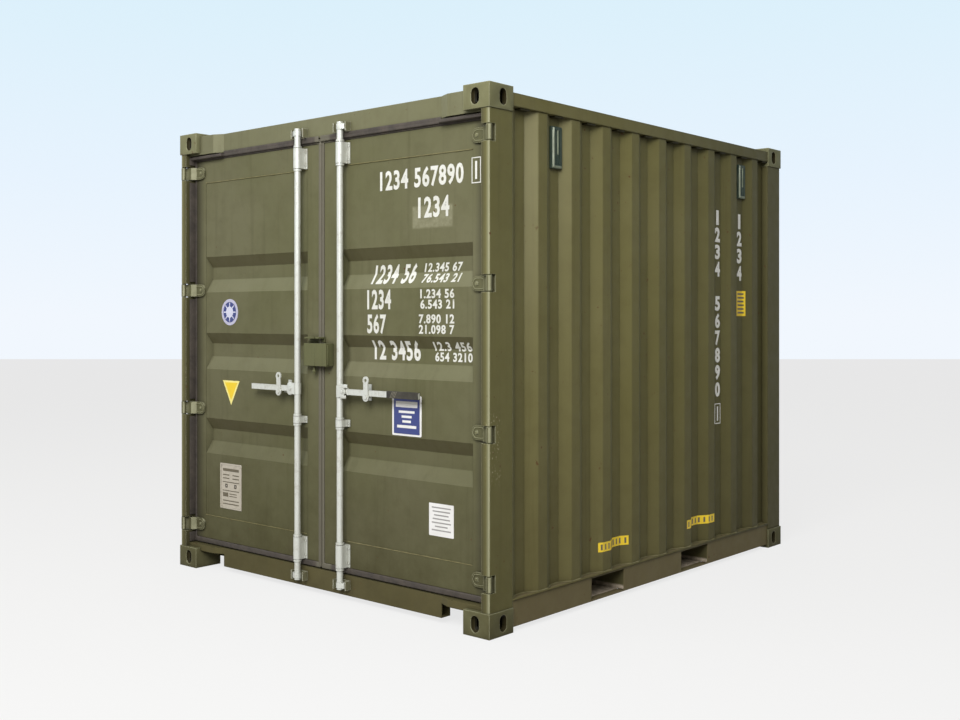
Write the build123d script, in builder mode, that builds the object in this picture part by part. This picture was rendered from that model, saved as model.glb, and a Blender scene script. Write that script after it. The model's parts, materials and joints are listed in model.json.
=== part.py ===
from build123d import *
import os

os.makedirs("parts", exist_ok=True)

# The container: X across it, Y along it with the doors at -Y, Z up from the ground
LENGTH = 2991.0
WIDTH = 2438.0
HEIGHT = 2591.0
FRONT = -LENGTH / 2
SIDE = WIDTH / 2

# Depths are counted inwards from the castings' outer faces
FRAME_SET = 5.0
WALL_SET = 10.0
SHEET = 2.0

# Corner castings
CAST_Y = 178.0
CAST_X = 162.0
CAST_Z = 118.0
CAST_WALL = 28.0
CAST_INNER_WALL = 12.0
CAST_ROUND = 15.0
CAST_EDGE = 3.0
SLOT_LENGTH = 124.0
SLOT_WIDTH = 63.5
OVAL_HEIGHT = 79.5
OVAL_WIDTH = 51.0
HOLE_FROM_END = 101.5
HOLE_FROM_SIDE = 89.0

# Corner posts
POST_WALL = 6.0
POST_SIDE_X = SIDE - FRAME_SET
POST_WIDE = 49.0
POST_STOP_WIDE = 64.0
POST_INNER_X = POST_SIDE_X - POST_WIDE
POST_STOP_X = POST_SIDE_X - POST_STOP_WIDE
STOP_DEPTH = 140.0
POST_ROUND = 8.0
POST_BACK_Y = FRONT + CAST_Y
BLIND_LIP = 40.0

# Hinges: pins stand in pockets cut through the door posts' corners
TOP_HINGE_SET = 233.0
HINGE_Z = [252.0, 949.0, 1655.0, HEIGHT - TOP_HINGE_SET]
PIN_SET_X = 16.0
PIN_SET_Y = 17.5
PIN_X = SIDE - PIN_SET_X
PIN_Y = FRONT + PIN_SET_Y
PIN_R = 8.0
PIN_PLAY = 0.5
KNUCKLE_R = 15.0
POCKET_Z = 82.0
POCKET_DEEP = 34.0
POCKET_BACK_Y = PIN_Y + POCKET_DEEP
LUG_Z = 16.0
BLADE_T = 12.0
BLADE_Z = 72.0
BLADE_TIP_SET = 160.0
BLADE_TIP_X = SIDE - BLADE_TIP_SET
BLADE_TIP_FLAT = 4.0
BLADE_LAND = 8.0
# Crank of the blades: steps inwards and backwards from the pin
BLADE_CRANK = [(0.0, 9.0), (16.0, 16.0), (30.0, 20.0), (47.0, 22.0)]

# Header and sill across the door end
END_DEPTH = 30.0
MID_DEPTH = 60.0
MID_SET = 354.0
END_SET = 289.0
MID_X = SIDE - MID_SET
END_X = SIDE - END_SET
FITTING_INNER_X = SIDE - CAST_X
HEADER_BOTTOM_SET = 128.0
HEADER_TOP_SET = 19.0
HEADER_BOTTOM = HEIGHT - HEADER_BOTTOM_SET
HEADER_TOP = HEIGHT - HEADER_TOP_SET
HEADER_WALL = 6.0
FILLER_GAP = 0.5
SILL_TOP = 137.0
SILL_LIP_Z = 102.0
SILL_BOTTOM = 30.0
SILL_CHANNEL = 64.0
SILL_PLATE = 6.0
THRESHOLD = 12.0

# Side rails, walls, roof and floor
RAIL_BOTTOM = 22.0
RAIL_TOP = 157.0
RAIL_FLANGE = 47.0
RAIL_WALL = 4.5
TOP_RAIL = 60.0
TOP_RAIL_HIGH = 64.0
TOP_RAIL_SET = 27.0
TOP_RAIL_TOP = HEIGHT - TOP_RAIL_SET
TOP_RAIL_BOTTOM = TOP_RAIL_TOP - TOP_RAIL_HIGH
TOP_RAIL_WALL = 3.0
WAVE_PITCH = 278.0
WAVE_FLAT = 35.0
WAVE_SLOPE = 68.0
WAVE_DEPTH = 36.0
WAVE_HALF = WAVE_FLAT + WAVE_SLOPE
FIRST_WAVE_SET = 281.5
FIRST_WAVE = FRONT + FIRST_WAVE_SET
LAST_WAVE_SET = 207.5
WAVE_SLACK = 14.0
SIDE_WAVES = int((-FRONT - LAST_WAVE_SET - FIRST_WAVE + WAVE_SLACK) / WAVE_PITCH) + 1
BLIND_WAVES = int(2 * (FITTING_INNER_X - WAVE_HALF) / WAVE_PITCH) + 1
ROOF_RIBS = 11
ROOF_RIB_RISE = 20.0
ROOF_RIB_SLOPE = 45.0
ROOF_RIB_WIDTH = 130.0
ROOF_RIB_SET = 119.0
ROOF_RIB_LENGTH = WIDTH - 2 * ROOF_RIB_SET
FLOOR_TOP = 172.0
FLOOR_T = 28.0
MEMBER_WIDTH = 45.0
MEMBER_WALL = 4.0
BLIND_BEAM = 60.0
BLIND_BEAM_WALL = 4.0

# Fork pockets
POCKET_CENTRES = [-506.0, 394.0]
FORK_WIDTH = 305.0
FORK_BOTTOM = 30.0
FORK_PLATE = 3.0
STRAP_LENGTH = 200.0
STRAP_T = 6.0

# Vents in two recesses of each side wall
VENT_WAVES = [1, SIDE_WAVES - 2]
VENT_HIGH = 210.0
VENT_TOP_SET = 141.0
VENT_TOP = HEIGHT - VENT_TOP_SET
VENT_BOTTOM = VENT_TOP - VENT_HIGH
VENT_WIDTH = 88.0
VENT_NECK_WIDTH = 62.0
VENT_NECK = 5.5
VENT_DEPTH = 9.5
VENT_RIBS = 4
VENT_RIB = 10.0
VENT_RIB_PITCH = 19.0
VENT_RIB_RISE = 4.0
VENT_RIB_END = 20.0

# Doors: two leaves with a gap a little left of the middle
DOOR_DEPTH = 72.0
LEAF_T = 50.0
LEAF_SIDE_SET = 74.0
LEAF_OUTER_X = SIDE - LEAF_SIDE_SET
LEAF_BOTTOM = 174.0
LEAF_TOP_SET = 161.0
LEAF_TOP = HEIGHT - LEAF_TOP_SET
STILE_OUTER_WIDE = 88.0
STILE_OUTER_X = LEAF_OUTER_X - STILE_OUTER_WIDE
STILE_INNER_X = 135.0
RIGHT_EDGE_X = 4.0
LEFT_EDGE_X = 44.0
LOW_RAIL_HIGH = 138.0
HIGH_RAIL_HIGH = 132.0
RAIL_SEAM_LOW = LEAF_BOTTOM + LOW_RAIL_HIGH
RAIL_SEAM_HIGH = LEAF_TOP - HIGH_RAIL_HIGH
TUBE_WALL = 4.0
PANEL_SET = 2.0
RECESSES = [(1854.0, 1643.0, 1792.0, 1719.0), (1400.0, 1186.0, 1338.0, 1261.0), (892.0, 683.0, 827.0, 755.0)]
RECESS_DEPTH = 36.0
RECESS_END = 12.0

# Rubber seal round each leaf
SEAL_SET = 2.0
SEAL_T = 16.0
SEAL_HINGE = 15.0
SEAL_TOP = 28.0
SEAL_BOTTOM = 32.0
RIGHT_SEAL_X = -17.0
LEFT_SEAL_X = 27.0

# Locking bars
BAR_X = 170.0
BAR_SET = 30.0
BAR_Y = FRONT + BAR_SET
BAR_R = 17.0
BAR_PLAY = 0.6
BAR_BOTTOM = 65.0
BAR_TOP_SET = 69.0
BAR_TOP = HEIGHT - BAR_TOP_SET
CAM_RING_R = 20.0
CAM_NOSE_R = 9.0
CAM_NOSE_REACH = 27.0
CAM_Z = 28.0
TOP_CAM_SET = 95.0
TOP_CAM_Z = HEIGHT - TOP_CAM_SET
LOW_CAM_Z = 88.0
KEEPER_T = 4.0
KEEPER_EAR = 6.0
KEEPER_EAR_REACH = 36.0
KEEPER_LEFT = 44.0
KEEPER_RIGHT = 43.0
KEEPER_Z = 48.0
COLLAR_R = 22.0
COLLAR_Z = 10.0
COLLAR_GAP = 3.0

# Bearing brackets of the bars: centre height and height of each
TOP_BRACKET_SET = 231.0
BRACKETS = [(HEIGHT - TOP_BRACKET_SET, 111.0), (937.0, 36.0), (238.0, 120.0)]
BRACKET_R = 23.0
BRACKET_FOOT = 36.0
BRACKET_FOOT_T = 5.0

# Handles, their hubs on the bars and the catches on the doors
HANDLE_Z = 1106.0
HUB_ROOT = 12.0
HUB_LUG_R = 22.0
HUB_CLEAR = 6.0
HUB_Z = 62.0
HUB_FRONT = 8.0
HUB_BACK = 44.0
SLOT_FRONT = 15.0
SLOT_BACK = 29.0
SLOT_START = 22.0
HINGE_PIN_X = 38.0
HINGE_PIN_R = 6.0
TONGUE_R = 12.0
HANDLE_T = 12.0
HANDLE_WIDE = 30.0
RIGHT_HANDLE_END = 749.0
RIGHT_GRIP_START = 532.0
LEFT_HANDLE_END = 550.0
GRIP_WALL = 3.0
PLATE_X = 383.0
PLATE_HIGH = 86.0
PLATE_LOW = 43.0
PLATE_R = 21.0
PLATE_WAIST = 32.0
PLATE_T = 6.0
PLATE_HOLE_R = 8.5
BOSS_R = 10.0
BOSS_T = 5.0
LEFT_PLATE_X = 310.0
CATCH_SET = 30.0
CATCH_FOOT = 5.0
CATCH_REACH = 36.0
CATCH_WIDE = 26.0
CATCH_TALL = 84.0
CATCH_GAP = 6.0

# Lock box, one half on each leaf
BOX_LEFT = 105.0
BOX_RIGHT = 75.0
BOX_LOW = 1233.0
BOX_HIGH = 1355.0
BOX_FRONT = 21.0
BOX_WALL = 6.0
BOX_GAP = 7.0
GAP_X = -22.0
RIM_WIDE = 25.0
RIM_T = 3.5
LUG_LOW = 1360.0
LUG_HIGH = 1388.0
LUG_T = 8.0
LUG_REACH = 50.0
LUG_FROM_GAP = 1.5
LEFT_LUG_LONG = 79.0
RIGHT_LUG_LONG = 29.0
STOP_X = 123.0
STOP_T = 5.0
STOP_REACH = 40.0


def save(piece, name):
    piece.part.label = name
    export_step(piece.part, f"parts/{name}.step")


def across(piece):
    with BuildPart() as twin:
        mirror(piece.part, about=Plane.YZ)
    return twin


def at_depth(depth):
    return FRONT + depth


# Door end, lower right casting: a hollow block with a slot below and an oval hole in two faces
def corner_casting():
    with BuildPart() as casting:
        with BuildSketch(Plane.XY) as foot:
            with Locations((SIDE - CAST_X / 2, FRONT + CAST_Y / 2)):
                Rectangle(CAST_X, CAST_Y)
            corner = foot.vertices().sort_by(lambda v: v.Y - v.X)[0]
            fillet(corner, radius=CAST_ROUND)
        extrude(amount=CAST_Z)
        rims = [edge for edge in casting.edges() if edge.center().Z in (0, CAST_Z)]
        inner = (SIDE - CAST_X, FRONT + CAST_Y)
        outer = [edge for edge in rims if edge.center().X > inner[0] and edge.center().Y < inner[1]]
        fillet(outer, radius=CAST_EDGE)
        cavity_x = CAST_X - CAST_WALL - CAST_INNER_WALL
        cavity_y = CAST_Y - CAST_WALL - CAST_INNER_WALL
        with BuildSketch(Plane.XY.offset(CAST_WALL)):
            with Locations((SIDE - CAST_WALL - cavity_x / 2, FRONT + CAST_WALL + cavity_y / 2)):
                Rectangle(cavity_x, cavity_y)
        extrude(amount=CAST_Z - CAST_WALL - CAST_INNER_WALL, mode=Mode.SUBTRACT)
        with BuildSketch(Plane.XY):
            with Locations((SIDE - HOLE_FROM_SIDE, FRONT + HOLE_FROM_END)):
                SlotOverall(SLOT_LENGTH, SLOT_WIDTH, rotation=90)
        extrude(amount=CAST_WALL, mode=Mode.SUBTRACT)
        with BuildSketch(Plane(origin=(SIDE - HOLE_FROM_SIDE, FRONT, CAST_Z / 2), z_dir=(0, 1, 0))):
            SlotOverall(OVAL_HEIGHT, OVAL_WIDTH, rotation=90)
        extrude(amount=CAST_WALL, mode=Mode.SUBTRACT)
        with BuildSketch(Plane(origin=(SIDE, FRONT + HOLE_FROM_END, CAST_Z / 2), z_dir=(-1, 0, 0))):
            SlotOverall(OVAL_HEIGHT, OVAL_WIDTH, rotation=0)
        extrude(amount=CAST_WALL, mode=Mode.SUBTRACT)
    return casting


def all_corner_castings():
    low = corner_casting()
    with BuildPart() as high:
        mirror(low.part, about=Plane.XY.offset(HEIGHT / 2))
    for level, piece in (("bottom", low), ("top", high)):
        with BuildPart() as blind:
            mirror(piece.part, about=Plane.XZ)
        for end, casting in (("door", piece), ("blind", blind)):
            save(casting, f"{end}_{level}_right_corner")
            save(across(casting), f"{end}_{level}_left_corner")


# Door post: a pressed hollow section with solid lugs, pockets and pins at the hinges
def door_post():
    front_y = at_depth(FRAME_SET)
    stop_y = at_depth(STOP_DEPTH)
    tall = HEIGHT - 2 * CAST_Z
    outline = [
        (POST_INNER_X, front_y),
        (POST_SIDE_X, front_y),
        (POST_SIDE_X, POST_BACK_Y),
        (POST_STOP_X, POST_BACK_Y),
        (POST_STOP_X, stop_y),
        (POST_INNER_X, stop_y),
    ]
    block_back = POCKET_BACK_Y + POST_WALL
    block_mid = ((POST_INNER_X + POST_SIDE_X) / 2, (front_y + block_back) / 2)
    block_size = (POST_SIDE_X - POST_INNER_X, block_back - front_y)
    with BuildPart() as post:
        with BuildSketch(Plane.XY.offset(CAST_Z)) as section:
            with BuildLine():
                Polyline(outline, close=True)
            make_face()
            fillet(section.vertices().sort_by(lambda v: v.Y - v.X)[0], radius=POST_ROUND)
            offset(amount=-POST_WALL, mode=Mode.SUBTRACT)
        extrude(amount=tall)
        for z in HINGE_Z:
            half = POCKET_Z / 2 + LUG_Z
            with BuildSketch(Plane.XY.offset(z - half)) as block:
                with Locations(block_mid):
                    Rectangle(*block_size)
                fillet(block.vertices().sort_by(lambda v: v.Y - v.X)[0], radius=POST_ROUND)
            extrude(amount=2 * half)
        for z in HINGE_Z:
            with BuildSketch(Plane.XY.offset(z - POCKET_Z / 2)):
                with Locations(block_mid):
                    Rectangle(*block_size)
                with Locations((block_mid[0], block_back - POST_WALL / 2)):
                    Rectangle(block_size[0], POST_WALL, mode=Mode.SUBTRACT)
            extrude(amount=POCKET_Z, mode=Mode.SUBTRACT)
        for z in HINGE_Z:
            with BuildSketch(Plane.XY.offset(z - POCKET_Z / 2)):
                with Locations((PIN_X, PIN_Y)):
                    Circle(PIN_R)
            extrude(amount=POCKET_Z)
    return post


# Blind end post: an open pressed section, flanges along the side and the end wall
def blind_post():
    outer_y = -at_depth(FRAME_SET)
    side_y = -POST_BACK_Y
    lip_x = SIDE - WALL_SET - WAVE_DEPTH - SHEET
    end_x = FITTING_INNER_X
    t = POST_WALL
    outline = [
        (lip_x, side_y),
        (POST_SIDE_X, side_y),
        (POST_SIDE_X, outer_y),
        (end_x, outer_y),
        (end_x, outer_y - BLIND_LIP),
        (end_x + t, outer_y - BLIND_LIP),
        (end_x + t, outer_y - t),
        (POST_SIDE_X - t, outer_y - t),
        (POST_SIDE_X - t, side_y + t),
        (lip_x, side_y + t),
    ]
    with BuildPart() as post:
        with BuildSketch(Plane.XY.offset(CAST_Z)) as section:
            with BuildLine():
                Polyline(outline, close=True)
            make_face()
            fillet(section.vertices().sort_by(lambda v: -v.Y - v.X)[0], radius=POST_ROUND)
        extrude(amount=HEIGHT - 2 * CAST_Z)
    return post


def front_plan(back_depth, half_length):
    return [
        (-half_length, at_depth(END_DEPTH)),
        (-END_X, at_depth(END_DEPTH)),
        (-MID_X, at_depth(MID_DEPTH)),
        (MID_X, at_depth(MID_DEPTH)),
        (END_X, at_depth(END_DEPTH)),
        (half_length, at_depth(END_DEPTH)),
        (half_length, at_depth(back_depth)),
        (-half_length, at_depth(back_depth)),
    ]


# Header: a hollow beam pressed back between the bars, and a filler plate under each casting
def door_header():
    filler_start = FITTING_INNER_X + FILLER_GAP
    filler_x = POST_INNER_X - filler_start
    filler_mid = at_depth((END_DEPTH + STOP_DEPTH) / 2)
    with BuildPart() as header:
        with BuildSketch(Plane.XY.offset(HEADER_BOTTOM)):
            with BuildLine():
                Polyline(front_plan(STOP_DEPTH, FITTING_INNER_X), close=True)
            make_face()
        extrude(amount=HEADER_TOP - HEADER_BOTTOM)
        with BuildSketch(Plane.XY.offset(HEADER_BOTTOM + HEADER_WALL)):
            with BuildLine():
                Polyline(front_plan(STOP_DEPTH, FITTING_INNER_X), close=True)
            make_face()
            offset(amount=-HEADER_WALL, kind=Kind.INTERSECTION, mode=Mode.REPLACE)
        extrude(amount=HEADER_TOP - HEADER_BOTTOM - 2 * HEADER_WALL, mode=Mode.SUBTRACT)
        with BuildSketch(Plane.XY.offset(HEADER_BOTTOM)):
            for hand in (-1, 1):
                with Locations((hand * (filler_start + filler_x / 2), filler_mid)):
                    Rectangle(filler_x, STOP_DEPTH - END_DEPTH)
        extrude(amount=HEIGHT - CAST_Z - HEADER_BOTTOM)
    return header


# Sill: a hollow upper strip, a raised threshold behind the doors and a channel below
def door_sill():
    with BuildPart() as sill:
        with BuildSketch(Plane.XY.offset(SILL_LIP_Z)):
            with BuildLine():
                Polyline(front_plan(STOP_DEPTH, FITTING_INNER_X), close=True)
            make_face()
        extrude(amount=SILL_TOP - SILL_LIP_Z)
        with BuildSketch(Plane.XY.offset(SILL_LIP_Z)):
            with BuildLine():
                Polyline(front_plan(STOP_DEPTH, FITTING_INNER_X), close=True)
            make_face()
            offset(amount=-SILL_PLATE, kind=Kind.INTERSECTION, mode=Mode.REPLACE)
        extrude(amount=SILL_TOP - SILL_LIP_Z - SILL_PLATE, mode=Mode.SUBTRACT)
        with BuildSketch(Plane.XY.offset(CAST_Z)):
            with Locations((0, at_depth((END_DEPTH + STOP_DEPTH) / 2))):
                Rectangle(2 * POST_INNER_X, STOP_DEPTH - END_DEPTH)
                Rectangle(2 * FITTING_INNER_X, STOP_DEPTH - END_DEPTH, mode=Mode.SUBTRACT)
        extrude(amount=SILL_TOP - CAST_Z)
        with BuildSketch(Plane.XY.offset(SILL_TOP)):
            with Locations((0, at_depth(STOP_DEPTH - THRESHOLD / 2))):
                Rectangle(2 * POST_INNER_X, THRESHOLD)
        extrude(amount=FLOOR_TOP - SILL_TOP)
        channel_y = at_depth(MID_DEPTH + SILL_CHANNEL / 2)
        with BuildSketch(Plane.XY.offset(SILL_BOTTOM)):
            with Locations((0, channel_y)):
                Rectangle(2 * MID_X, SILL_CHANNEL)
        extrude(amount=SILL_LIP_Z - SILL_BOTTOM)
        with BuildSketch(Plane.XY.offset(SILL_BOTTOM + SILL_PLATE)):
            with Locations((0, channel_y)):
                Rectangle(2 * MID_X, SILL_CHANNEL - 2 * SILL_PLATE)
        extrude(amount=SILL_LIP_Z - SILL_BOTTOM, mode=Mode.SUBTRACT)
    return sill


# Corrugated line: pairs of distance along the wall and depth behind its outer flats
def wave_line(centres, start, stop):
    points = [(start, 0.0)]
    for centre in centres:
        for step, depth in ((-WAVE_HALF, 0.0), (-WAVE_FLAT, WAVE_DEPTH)):
            points.append((centre + step, depth))
        for step, depth in ((WAVE_FLAT, WAVE_DEPTH), (WAVE_HALF, 0.0)):
            if centre + step < stop:
                points.append((centre + step, depth))
    points.append((stop, points[-1][1]))
    return points


def side_wave_centres():
    return [FIRST_WAVE + i * WAVE_PITCH for i in range(SIDE_WAVES)]


def side_wall():
    line = wave_line(side_wave_centres(), POST_BACK_Y, -POST_BACK_Y)
    outer = [(SIDE - WALL_SET - depth, along) for along, depth in line]
    inner = [(x - SHEET, y) for x, y in reversed(outer)]
    with BuildPart() as wall:
        with BuildSketch(Plane.XY.offset(RAIL_TOP)):
            with BuildLine():
                Polyline(outer + inner, close=True)
            make_face()
        extrude(amount=TOP_RAIL_BOTTOM - RAIL_TOP)
    return wall


def blind_wall():
    half = (BLIND_WAVES - 1) / 2
    centres = [(i - half) * WAVE_PITCH for i in range(BLIND_WAVES)]
    line = wave_line(centres, -FITTING_INNER_X, FITTING_INNER_X)
    outer = [(along, -at_depth(WALL_SET) - depth) for along, depth in line]
    inner = [(x, y - SHEET) for x, y in reversed(outer)]
    with BuildPart() as wall:
        with BuildSketch(Plane.XY.offset(RAIL_TOP)):
            with BuildLine():
                Polyline(outer + inner, close=True)
            make_face()
        extrude(amount=TOP_RAIL_BOTTOM - RAIL_TOP)
    return wall


# Bottom side rail: a channel open inwards, cut through at the fork pockets
def side_bottom_rail():
    web_x = SIDE - WALL_SET
    high = RAIL_TOP - RAIL_BOTTOM
    mid_z = (RAIL_TOP + RAIL_BOTTOM) / 2
    with BuildPart() as rail:
        with BuildSketch(Plane.XZ.offset(POST_BACK_Y)):
            with Locations((web_x - RAIL_FLANGE / 2, mid_z)):
                Rectangle(RAIL_FLANGE, high)
            with Locations((web_x - RAIL_WALL - RAIL_FLANGE / 2, mid_z)):
                Rectangle(RAIL_FLANGE, high - 2 * RAIL_WALL, mode=Mode.SUBTRACT)
        extrude(amount=-2 * POST_BACK_Y)
        fork_top = FLOOR_TOP - FLOOR_T - FORK_PLATE
        with BuildSketch(Plane.YZ.offset(web_x)):
            with Locations(*[(y, (FORK_BOTTOM + fork_top) / 2) for y in POCKET_CENTRES]):
                Rectangle(FORK_WIDTH, fork_top - FORK_BOTTOM)
        extrude(amount=-RAIL_WALL, mode=Mode.SUBTRACT)
    return rail


def tube_beam(plane, centre, size, wall, length):
    with BuildPart() as beam:
        with BuildSketch(plane):
            with Locations(centre):
                Rectangle(*size)
                Rectangle(size[0] - 2 * wall, size[1] - 2 * wall, mode=Mode.SUBTRACT)
        extrude(amount=length)
    return beam


def side_top_rail():
    centre = (POST_SIDE_X - TOP_RAIL / 2, (TOP_RAIL_BOTTOM + TOP_RAIL_TOP) / 2)
    size = (TOP_RAIL, TOP_RAIL_TOP - TOP_RAIL_BOTTOM)
    return tube_beam(Plane.XZ.offset(POST_BACK_Y), centre, size, TOP_RAIL_WALL, -2 * POST_BACK_Y)


def blind_rail(bottom, top):
    centre = (-at_depth(FRAME_SET) - BLIND_BEAM / 2, (bottom + top) / 2)
    size = (BLIND_BEAM, top - bottom)
    return tube_beam(Plane.YZ.offset(-FITTING_INNER_X), centre, size, BLIND_BEAM_WALL, 2 * FITTING_INNER_X)


# Roof: one sheet with raised hollow ribs across it, cut clear of the castings
def roof_panel():
    roof_front = at_depth(STOP_DEPTH)
    roof_back = -at_depth(WALL_SET)
    rib_pitch = -2 * POST_BACK_Y / ROOF_RIBS
    rib_centres = [(0, POST_BACK_Y + (i + 0.5) * rib_pitch) for i in range(ROOF_RIBS)]
    with BuildPart() as roof:
        with BuildSketch(Plane.XY.offset(TOP_RAIL_TOP)):
            Rectangle(2 * (POST_SIDE_X - WALL_SET), -2 * POST_BACK_Y)
            with Locations((0, (roof_front + roof_back) / 2)):
                Rectangle(2 * FITTING_INNER_X, roof_back - roof_front)
        extrude(amount=SHEET)
        with BuildSketch(Plane.XY.offset(TOP_RAIL_TOP)):
            with Locations(*rib_centres):
                Rectangle(ROOF_RIB_LENGTH, ROOF_RIB_WIDTH)
        extrude(amount=ROOF_RIB_RISE, taper=ROOF_RIB_SLOPE)
        with BuildSketch(Plane.XY.offset(TOP_RAIL_TOP)):
            with Locations(*rib_centres):
                Rectangle(ROOF_RIB_LENGTH - 2 * SHEET, ROOF_RIB_WIDTH - 2 * SHEET)
        extrude(amount=ROOF_RIB_RISE - SHEET, taper=ROOF_RIB_SLOPE, mode=Mode.SUBTRACT)
    return roof


def floor_board():
    front_y = at_depth(STOP_DEPTH)
    back_y = -at_depth(FRAME_SET) - BLIND_BEAM
    wide = 2 * (SIDE - WALL_SET - RAIL_FLANGE)
    with BuildPart() as floor:
        with BuildSketch(Plane.XY.offset(FLOOR_TOP - FLOOR_T)):
            with Locations((0, (front_y + back_y) / 2)):
                Rectangle(wide, back_y - front_y)
            with Locations((0, (front_y + POST_BACK_Y) / 2)):
                Rectangle(wide, POST_BACK_Y - front_y, mode=Mode.SUBTRACT)
                Rectangle(2 * POST_STOP_X, POST_BACK_Y - front_y)
        extrude(amount=FLOOR_T)
    return floor


# Cross members: channels under the floor, one at each recess that the fork pockets leave free
def cross_members():
    half = SIDE - WALL_SET - RAIL_FLANGE
    clear = FORK_WIDTH / 2 + FORK_PLATE + MEMBER_WIDTH
    places = []
    for y in side_wave_centres():
        if all(abs(y - pocket) > clear for pocket in POCKET_CENTRES):
            places.append(y)
    high = FLOOR_TOP - FLOOR_T - RAIL_BOTTOM
    mid_z = RAIL_BOTTOM + high / 2
    with BuildPart() as members:
        with BuildSketch(Plane.YZ.offset(-half)):
            with Locations(*[(y, mid_z) for y in places]):
                Rectangle(MEMBER_WIDTH, high)
            with Locations(*[(y + MEMBER_WALL, mid_z) for y in places]):
                Rectangle(MEMBER_WIDTH, high - 2 * MEMBER_WALL, mode=Mode.SUBTRACT)
        extrude(amount=2 * half)
    return members


# Fork pockets: tunnels across the container with straps under their ends
def fork_pockets():
    half = SIDE - WALL_SET - RAIL_WALL
    strap_end = SIDE - WALL_SET - RAIL_FLANGE
    top = FLOOR_TOP - FLOOR_T
    strap_bottom = FORK_BOTTOM - STRAP_T
    outer_width = FORK_WIDTH + 2 * FORK_PLATE
    with BuildPart() as pockets:
        for y in POCKET_CENTRES:
            with BuildSketch(Plane.YZ.offset(-half)):
                with Locations((y, (FORK_BOTTOM + top) / 2)):
                    Rectangle(outer_width, top - FORK_BOTTOM)
                with Locations((y, (FORK_BOTTOM + top - FORK_PLATE) / 2)):
                    Rectangle(FORK_WIDTH, top - FORK_PLATE - FORK_BOTTOM, mode=Mode.SUBTRACT)
            extrude(amount=2 * half)
        with BuildSketch(Plane.XY.offset(strap_bottom)):
            for y in POCKET_CENTRES:
                with Locations((strap_end - STRAP_LENGTH / 2, y), (-strap_end + STRAP_LENGTH / 2, y)):
                    Rectangle(STRAP_LENGTH, outer_width)
        extrude(amount=STRAP_T)
    return pockets


# Vents: ribbed boxes on a narrower neck, seated in the recesses of the side walls
def side_vents():
    floor_x = SIDE - WALL_SET - WAVE_DEPTH
    body_x = floor_x + VENT_NECK
    face_x = body_x + VENT_DEPTH
    centres = [side_wave_centres()[i] for i in VENT_WAVES]
    first_rib = -(VENT_RIBS - 1) / 2 * VENT_RIB_PITCH
    with BuildPart() as vents:
        with BuildSketch(Plane.XY.offset(VENT_BOTTOM)):
            for y in centres:
                with Locations((floor_x + VENT_NECK / 2, y)):
                    Rectangle(VENT_NECK, VENT_NECK_WIDTH)
                with Locations((body_x + VENT_DEPTH / 2, y)):
                    Rectangle(VENT_DEPTH, VENT_WIDTH)
        extrude(amount=VENT_TOP - VENT_BOTTOM)
        with BuildSketch(Plane.XY.offset(VENT_BOTTOM + VENT_RIB_END)):
            for y in centres:
                for i in range(VENT_RIBS):
                    with Locations((face_x + VENT_RIB_RISE / 2, y + first_rib + i * VENT_RIB_PITCH)):
                        Rectangle(VENT_RIB_RISE, VENT_RIB)
        extrude(amount=VENT_HIGH - 2 * VENT_RIB_END)
        mirror(vents.part, about=Plane.YZ)
    return vents


# Cam keepers: a plate with two ears round each cam, on the header and the sill
def cam_keepers():
    plate_y = at_depth(MID_DEPTH)
    with BuildPart() as keepers:
        for z in (LOW_CAM_Z, TOP_CAM_Z):
            bottom = z - KEEPER_Z / 2
            with BuildSketch(Plane.XY.offset(bottom)):
                left = BAR_X - KEEPER_LEFT - KEEPER_EAR
                right = BAR_X + KEEPER_RIGHT + KEEPER_EAR
                with Locations(((left + right) / 2, plate_y - KEEPER_T / 2)):
                    Rectangle(right - left, KEEPER_T)
                for x in (left + KEEPER_EAR / 2, right - KEEPER_EAR / 2):
                    with Locations((x, plate_y - KEEPER_EAR_REACH / 2)):
                        Rectangle(KEEPER_EAR, KEEPER_EAR_REACH)
            extrude(amount=KEEPER_Z)
        mirror(keepers.part, about=Plane.YZ)
    return keepers


# Leaf frame: four tubes, from the hinge side to the edge beside the gap
def leaf_frame(edge_x):
    mid_y = at_depth(DOOR_DEPTH + LEAF_T / 2)
    stiles = [(edge_x, STILE_INNER_X), (STILE_OUTER_X, LEAF_OUTER_X)]
    rails = [(LEAF_BOTTOM, RAIL_SEAM_LOW), (RAIL_SEAM_HIGH, LEAF_TOP)]
    with BuildPart() as frame:
        with BuildSketch(Plane.XY.offset(LEAF_BOTTOM)):
            for start, end in stiles:
                with Locations(((start + end) / 2, mid_y)):
                    Rectangle(end - start, LEAF_T)
        extrude(amount=LEAF_TOP - LEAF_BOTTOM)
        for low, high in rails:
            with BuildSketch(Plane.XY.offset(low)):
                with Locations(((STILE_INNER_X + STILE_OUTER_X) / 2, mid_y)):
                    Rectangle(STILE_OUTER_X - STILE_INNER_X, LEAF_T)
            extrude(amount=high - low)
        with BuildSketch(Plane.XY.offset(LEAF_BOTTOM + TUBE_WALL)):
            for start, end in stiles:
                with Locations(((start + end) / 2, mid_y)):
                    Rectangle(end - start - 2 * TUBE_WALL, LEAF_T - 2 * TUBE_WALL)
        extrude(amount=LEAF_TOP - LEAF_BOTTOM - 2 * TUBE_WALL, mode=Mode.SUBTRACT)
        for low, high in rails:
            with BuildSketch(Plane.XY.offset(low + TUBE_WALL)):
                with Locations(((STILE_INNER_X + STILE_OUTER_X) / 2, mid_y)):
                    Rectangle(STILE_OUTER_X - STILE_INNER_X, LEAF_T - 2 * TUBE_WALL)
            extrude(amount=high - low - 2 * TUBE_WALL, mode=Mode.SUBTRACT)
    return frame


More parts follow.
